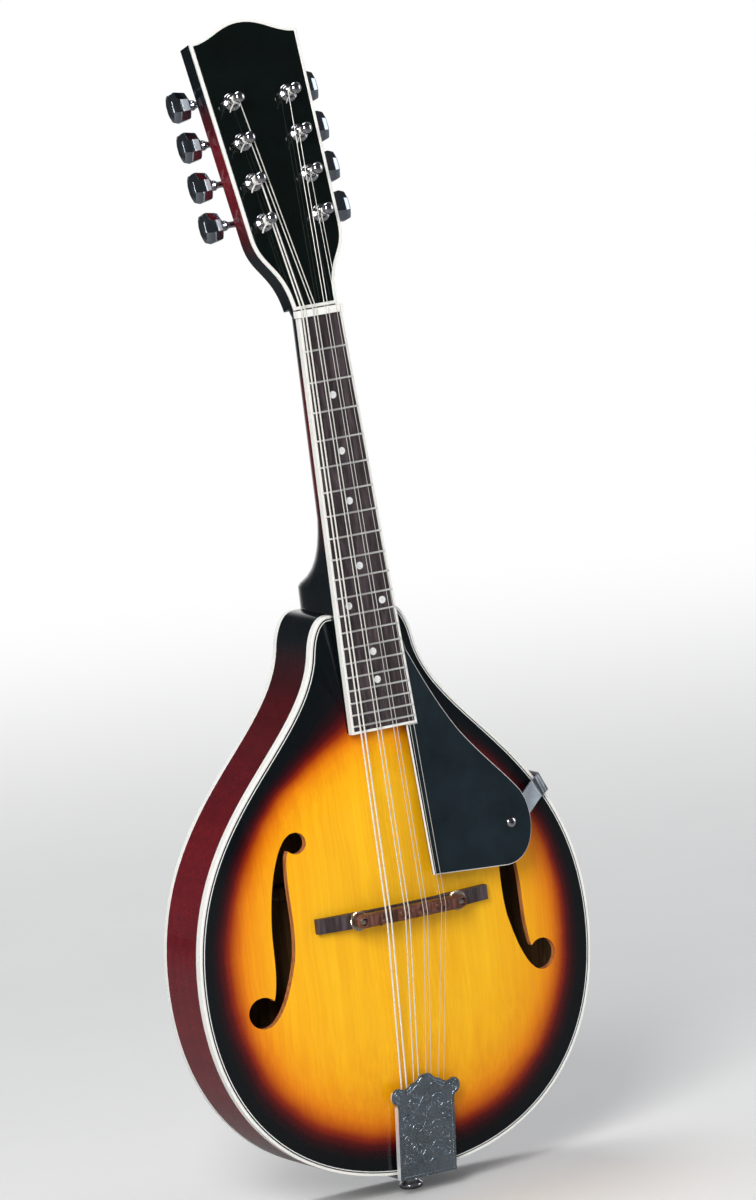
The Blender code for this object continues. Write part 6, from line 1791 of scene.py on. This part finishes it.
def string_piece(name, where, path, number, body=None, main=False):
    """A length of one string, which stores how many turns of wrap wire lie before each of its rings."""
    gauge = STRING_GAUGES[number - 1]
    sides = 12
    lengths = [0.0]
    for here, there in zip(path, path[1:]):
        lengths.append(lengths[-1] + (Vector(there) - Vector(here)).length)
    piece = formed(name, where, tube(path, gauge / 2.0, sides),
                   "wound_string" if gauge > WOUND_FROM else "plain_string", 60.0)
    wrap = piece.data.attributes.new("wrap", "FLOAT", "POINT")
    turn = WRAP_PITCH * gauge
    wrap.data.foreach_set("value", [length / turn for length in lengths for _ in range(sides)])
    if main:
        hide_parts(f"string_{number}")
    if body:
        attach(piece, body)
    return piece


def even_path(start, end, count):
    return [tuple(Vector(start).lerp(Vector(end), k / count)) for k in range(count + 1)]


def build_string(number):
    """One string: its loop, two lengths that bend at the saddle, its coil and its cut end."""
    index = number - 1
    gauge = STRING_GAUGES[index]
    side, post_x, post_up = post_places()[index]
    lift = gauge / 2.0 + 0.15
    hook_x = (index - 3.5) * HOOK_SPACING
    hook_out = arch_height(0.0, HOOK_UP) + 0.3 + BASE_SHEET + 2.1
    hook = (hook_x, hook_out, HOOK_UP + 0.7)
    over = (STRINGS_AT_BRIDGE[index], saddle_crest() + lift, BRIDGE_UP + COMPENSATION[index // 2])
    front = JOIN_FROM_NUT + GLUE_LINE
    x = STRINGS_AT_NUT[index]
    nut_low = between(NECK, BODY, (x, NUT_SLOT_FLOOR + lift, front + 0.3))
    nut_high = between(NECK, BODY, (x, NUT_SLOT_FLOOR + lift - 0.2, front + NUT_LENGTH))
    radius = POST_WAIST_RADIUS + 0.17 + gauge / 2.0
    begin, finish_angle = ((0.0, math.radians(15.0) + 2.0 * math.tau) if side < 0.0
                           else (math.pi, math.radians(75.0) - 2.0 * math.tau))
    sweep = finish_angle - begin
    turns = abs(sweep) / math.tau
    pitch = gauge + 0.45
    low = STRING_HOLE_UP - pitch * turns
    count = round(turns * 30)
    coil = [(radius, begin + sweep * k / count, low + pitch * turns * k / count) for k in range(count + 1)]
    mouth = math.radians(45.0)
    turn = math.copysign(1.0, sweep)
    ends = [(radius * 0.95, finish_angle + turn * math.radians(14.0)), (POST_WAIST_RADIUS * 0.75, mouth),
            (-POST_WAIST_RADIUS - 0.6, mouth), (-4.8, mouth), (-7.4, mouth + 0.03), (-9.4, mouth + 0.1)]
    coil += [(r, a, STRING_HOLE_UP - drop) for (r, a), drop in zip(ends, (0.0, 0.1, 0.2, 0.3, 0.6, 1.0))]
    coil = [(post_x + r * math.cos(a), out, post_up + r * math.sin(a)) for r, a, out in coil]
    start = between(HEAD, BODY, coil[0])
    tail = string_piece(f"string_tail_{number}", BODY, even_path(hook, over, 12), number)
    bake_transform(tail)
    speaking = string_piece(f"string_length_{number}", BODY, even_path(over, nut_low, 24), number, main=True)
    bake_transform(speaking)
    string_piece(f"string_over_nut_{number}", BODY, [nut_low, nut_high, start], number, "body")
    string_piece(f"string_coil_{number}", HEAD, coil, number, f"post_{number}")
    eye = [(hook_x + 0.95 * math.cos(a) * 1.15, hook_out - 0.15, HOOK_UP - 0.6 + 1.25 * math.sin(a))
           for a in (math.pi / 2.0 + math.tau * k / 20.0 for k in range(21))]
    twist = [(hook_x + 0.28 * math.cos(1.9 * k), hook_out + 0.28 * math.sin(1.9 * k),
              HOOK_UP + 0.6 + 0.42 * k) for k in range(26)]
    wire = min(gauge, 0.42) / 2.0
    make(f"string_eye_{number}", BODY, gathered([tube(eye, wire, 8), tube(twist, wire, 8)]),
         "plain_string", f"string_{number}", smooth=60.0)


# Stage

BEHIND_OBJECT = (0.477, 0.879, 0.0)
CAMERA_AT = (-2.3351357, -4.5200005, 0.5662717)
CAMERA_TURN = (81.545, 6.575, -28.527)
CAMERA_LENS = 261.6864
FLOOR_RADIUS = 30.0


def backdrop_share(tree, towards):
    """Where white is seen: straight on or through glass all round, mirrored only from behind."""
    ray = put(tree, "LightPath").outputs
    behind = put(tree, "VectorMath", {0: towards, 1: BEHIND_OBJECT}, operation="DOT_PRODUCT")
    mirrored_there = sum_of(tree, "MULTIPLY", ray["Is Glossy Ray"],
                            spread(tree, behind.outputs["Value"], 0.75, 0.98))
    seen = sum_of(tree, "MAXIMUM", ray["Is Camera Ray"], ray["Is Transmission Ray"])
    return sum_of(tree, "MAXIMUM", seen, mirrored_there)


def build_world():
    """Dim room light, with a white backdrop seen directly and mirrored from behind the object."""
    world = bpy.data.worlds.new("studio_room")
    bpy.context.scene.world = world
    world.use_nodes = True
    tree = world.node_tree
    tree.nodes.clear()
    towards = put(tree, "TexCoord").outputs["Generated"]
    seen = backdrop_share(tree, towards)
    height = put(tree, "SeparateXYZ", {"Vector": towards}).outputs["Z"]
    mirrored_room = spread(tree, height, -0.1, 0.5, 0.11, 0.045)
    level = put(tree, "Mix", {0: put(tree, "LightPath").outputs["Is Glossy Ray"], 2: settings().studio.room,
                              3: mirrored_room}).outputs[0]
    room = put(tree, "Background", {"Color": (0.93, 0.96, 1.0, 1.0), "Strength": level})
    white = put(tree, "Background", {"Color": (1.0, 1.0, 1.0, 1.0), "Strength": 1.0})
    blend = put(tree, "MixShader", {0: seen, 1: room.outputs[0], 2: white.outputs[0]})
    output = put(tree, "OutputWorld")
    tree.links.new(blend.outputs[0], output.inputs["Surface"])


def soft_box(name, at, aim, size, watts, colour):
    lamp = bpy.data.lights.new(name, "AREA")
    lamp.shape = "RECTANGLE"
    lamp.size, lamp.size_y = size
    lamp.energy = watts
    lamp.color = colour
    box = bpy.data.objects.new(name, lamp)
    bpy.context.collection.objects.link(box)
    box.location = at
    box.rotation_euler = (Vector(aim) - Vector(at)).to_track_quat("-Z", "Y").to_euler()


def build_stage():
    """Floor, room, soft boxes and the camera."""
    lowest = CAD_BOX[0][2]
    points = [(FLOOR_RADIUS * x, FLOOR_RADIUS * y, lowest) for x, y in circle((0.0, 0.0), 1.0, 64)]
    floor = bpy.data.meshes.new("studio_floor")
    floor.from_pydata(points, [], [tuple(range(64))])
    ground = object_from("studio_floor", floor, surface("pale_floor"))
    build_world()
    studio = settings().studio
    soft_box("key_box", (-1.75, -1.95, 1.2), (0.0, 0.0, -0.2), (1.1, 1.6), studio.key, (1.0, 0.985, 0.96))
    soft_box("fill_box", (2.5, -1.1, 0.6), (0.0, 0.0, -0.25), (1.2, 1.8), studio.fill, (0.95, 0.975, 1.0))
    soft_box("top_box", (-0.2, 0.7, 1.9), (0.0, 0.0, -0.2), (1.4, 1.0), studio.top, (1.0, 1.0, 1.0))
    lens = bpy.data.cameras.new("photo_camera")
    lens.lens = CAMERA_LENS
    lens.sensor_width = 36.0
    lens.clip_start = 0.1
    lens.clip_end = 100.0
    camera = bpy.data.objects.new("photo_camera", lens)
    camera.location = CAMERA_AT
    camera.rotation_euler = tuple(math.radians(turn) for turn in CAMERA_TURN)
    bpy.context.collection.objects.link(camera)
    bpy.context.scene.camera = camera
    bpy.context.scene.view_settings.view_transform = "Standard"


# Add-on

class MandolinSizes(PropertyGroup):
    """Sizes of the trim, which sit on the frame's fixed dimensions."""
    fret_height: FloatProperty(name="Fret Height", description="Height of the fret wire over the board",
                               default=0.001, min=0.0005, max=0.0014, unit="LENGTH")
    dot_radius: FloatProperty(name="Dot Radius", description="Radius of the pearl dots",
                              default=0.0022, min=0.001, max=0.003, unit="LENGTH")
    line_width: FloatProperty(name="Line Width", description="Width of the black lines beside the binding",
                              default=0.00042, min=0.0002, max=0.0006, unit="LENGTH")
    edge_round: FloatProperty(name="Edge Rounding", description="Rounding of the bindings' outer corners",
                              default=0.00045, min=0.0, max=0.0008, unit="LENGTH")
    wheel_knurls: IntProperty(name="Wheel Knurls", description="Knurls round each thumbwheel",
                              default=34, min=12, max=60)


class MandolinFinishes(PropertyGroup):
    """Main colours of the instrument."""
    amber: FloatVectorProperty(name="Amber", description="Middle of the sunburst", subtype="COLOR",
                               default=(0.94, 0.51, 0.010), min=0.0, max=1.0)
    maroon: FloatVectorProperty(name="Maroon", description="Stain of the sides, back and neck",
                                subtype="COLOR", default=(0.135, 0.006, 0.012), min=0.0, max=1.0)
    ivory: FloatVectorProperty(name="Ivory", description="Bindings and nut", subtype="COLOR",
                               default=(0.88, 0.87, 0.84), min=0.0, max=1.0)
    chrome: FloatVectorProperty(name="Chrome", description="Plating of the tuners and the tailpiece",
                                subtype="COLOR", default=(0.74, 0.74, 0.78), min=0.0, max=1.0)


class MandolinStudio(PropertyGroup):
    """Light and floor of the stage."""
    key: FloatProperty(name="Key Light", description="Power of the soft box at the upper left", default=78.0,
                       min=0.0, unit="POWER")
    fill: FloatProperty(name="Fill Light", description="Power of the soft box at the right", default=16.0,
                        min=0.0, unit="POWER")
    top: FloatProperty(name="Top Light", description="Power of the soft box above and behind", default=22.0,
                       min=0.0, unit="POWER")
    room: FloatProperty(name="Room Light", description="Strength of the light from all round", default=0.27,
                        min=0.0, max=1.0)
    floor: FloatVectorProperty(name="Floor", description="Colour of the floor", subtype="COLOR",
                               default=(0.80, 0.80, 0.80), min=0.0, max=1.0)


class MandolinSettings(PropertyGroup):
    """Everything that a user would change."""
    sizes: PointerProperty(type=MandolinSizes, name="Sizes", description="Sizes of the trim")
    finishes: PointerProperty(type=MandolinFinishes, name="Finishes", description="Main colours")
    studio: PointerProperty(type=MandolinStudio, name="Studio", description="Light and floor")


def settings():
    return bpy.context.scene.mandolin


class MANDOLIN_OT_soundboard(Operator):
    """Build the arched top with its sound holes"""
    bl_idname = "mandolin.soundboard"
    bl_label = "Soundboard"

    def execute(self, context):
        build_soundboard()
        return {"FINISHED"}


class MANDOLIN_OT_binding(Operator):
    """Build the body bindings and the lines beside them"""
    bl_idname = "mandolin.binding"
    bl_label = "Body Binding"

    def execute(self, context):
        build_binding()
        return {"FINISHED"}


class MANDOLIN_OT_sides(Operator):
    """Build the sides, linings, back and braces"""
    bl_idname = "mandolin.sides"
    bl_label = "Sides and Back"

    def execute(self, context):
        build_sides()
        return {"FINISHED"}


class MANDOLIN_OT_inner_wood(Operator):
    """Finish the blocks and tone bars inside the body"""
    bl_idname = "mandolin.inner_wood"
    bl_label = "Inner Wood"

    def execute(self, context):
        dress_inner_wood()
        return {"FINISHED"}


class MANDOLIN_OT_neck(Operator):
    """Build the neck with its heel and headstock core"""
    bl_idname = "mandolin.neck"
    bl_label = "Neck"

    def execute(self, context):
        build_neck()
        return {"FINISHED"}


class MANDOLIN_OT_headstock(Operator):
    """Build the headstock face and its binding"""
    bl_idname = "mandolin.headstock"
    bl_label = "Headstock Face"

    def execute(self, context):
        build_headstock()
        return {"FINISHED"}


class MANDOLIN_OT_fretboard(Operator):
    """Build the fretboard with frets, dots and binding"""
    bl_idname = "mandolin.fretboard"
    bl_label = "Fretboard"

    def execute(self, context):
        build_fretboard()
        return {"FINISHED"}


class MANDOLIN_OT_nut(Operator):
    """Build the slotted nut"""
    bl_idname = "mandolin.nut"
    bl_label = "Nut"

    def execute(self, context):
        build_nut()
        return {"FINISHED"}


class MANDOLIN_OT_tuners(Operator):
    """Build the eight tuners on their two plates"""
    bl_idname = "mandolin.tuners"
    bl_label = "Tuners"

    def execute(self, context):
        build_tuners()
        return {"FINISHED"}


class MANDOLIN_OT_bridge(Operator):
    """Build the bridge with its wheels and saddle"""
    bl_idname = "mandolin.bridge"
    bl_label = "Bridge"

    def execute(self, context):
        build_bridge()
        return {"FINISHED"}


class MANDOLIN_OT_pickguard(Operator):
    """Build the pickguard, its bracket and its screw"""
    bl_idname = "mandolin.pickguard"
    bl_label = "Pickguard"

    def execute(self, context):
        build_pickguard()
        return {"FINISHED"}


class MANDOLIN_OT_tailpiece(Operator):
    """Build the tailpiece with its cover and the end pin"""
    bl_idname = "mandolin.tailpiece"
    bl_label = "Tailpiece"

    def execute(self, context):
        build_tailpiece()
        return {"FINISHED"}


class MANDOLIN_OT_strings(Operator):
    """Build the eight strings"""
    bl_idname = "mandolin.strings"
    bl_label = "Strings"

    def execute(self, context):
        for number in range(1, len(STRING_GAUGES) + 1):
            build_string(number)
        return {"FINISHED"}


class MANDOLIN_OT_stage(Operator):
    """Build the floor, the lights and the camera"""
    bl_idname = "mandolin.stage"
    bl_label = "Stage"

    def execute(self, context):
        build_stage()
        return {"FINISHED"}


STEPS = (MANDOLIN_OT_soundboard, MANDOLIN_OT_binding, MANDOLIN_OT_sides, MANDOLIN_OT_inner_wood,
         MANDOLIN_OT_neck, MANDOLIN_OT_headstock, MANDOLIN_OT_fretboard, MANDOLIN_OT_nut, MANDOLIN_OT_tuners,
         MANDOLIN_OT_bridge, MANDOLIN_OT_pickguard, MANDOLIN_OT_tailpiece, MANDOLIN_OT_strings,
         MANDOLIN_OT_stage)


class MANDOLIN_PT_panel(Panel):
    """Sizes, finishes, light and the steps that build the mandolin"""
    bl_idname = "MANDOLIN_PT_panel"
    bl_label = "Mandolin"
    bl_space_type = "VIEW_3D"
    bl_region_type = "UI"
    bl_category = "Mandolin"

    def draw(self, context):
        layout = self.layout
        chosen = context.scene.mandolin
        for title, group in (("Sizes", chosen.sizes), ("Finishes", chosen.finishes),
                             ("Studio", chosen.studio)):
            box = layout.box()
            box.label(text=title)
            for name in group.__annotations__:
                box.prop(group, name)
        column = layout.column(align=True)
        for step in STEPS:
            column.operator(step.bl_idname)


CLASSES = (MandolinSizes, MandolinFinishes, MandolinStudio, MandolinSettings, *STEPS, MANDOLIN_PT_panel)


def register():
    for each in CLASSES:
        bpy.utils.register_class(each)
    bpy.types.Scene.mandolin = PointerProperty(type=MandolinSettings)


def unregister():
    del bpy.types.Scene.mandolin
    for each in reversed(CLASSES):
        bpy.utils.unregister_class(each)


def main():
    register()
    bpy.ops.mandolin.soundboard()
    bpy.ops.mandolin.binding()
    bpy.ops.mandolin.sides()
    bpy.ops.mandolin.inner_wood()
    bpy.ops.mandolin.neck()
    bpy.ops.mandolin.headstock()
    bpy.ops.mandolin.fretboard()
    bpy.ops.mandolin.nut()
    bpy.ops.mandolin.tuners()
    bpy.ops.mandolin.bridge()
    bpy.ops.mandolin.pickguard()
    bpy.ops.mandolin.tailpiece()
    bpy.ops.mandolin.strings()
    bpy.ops.mandolin.stage()
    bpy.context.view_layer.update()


if __name__ == "__main__":
    main()
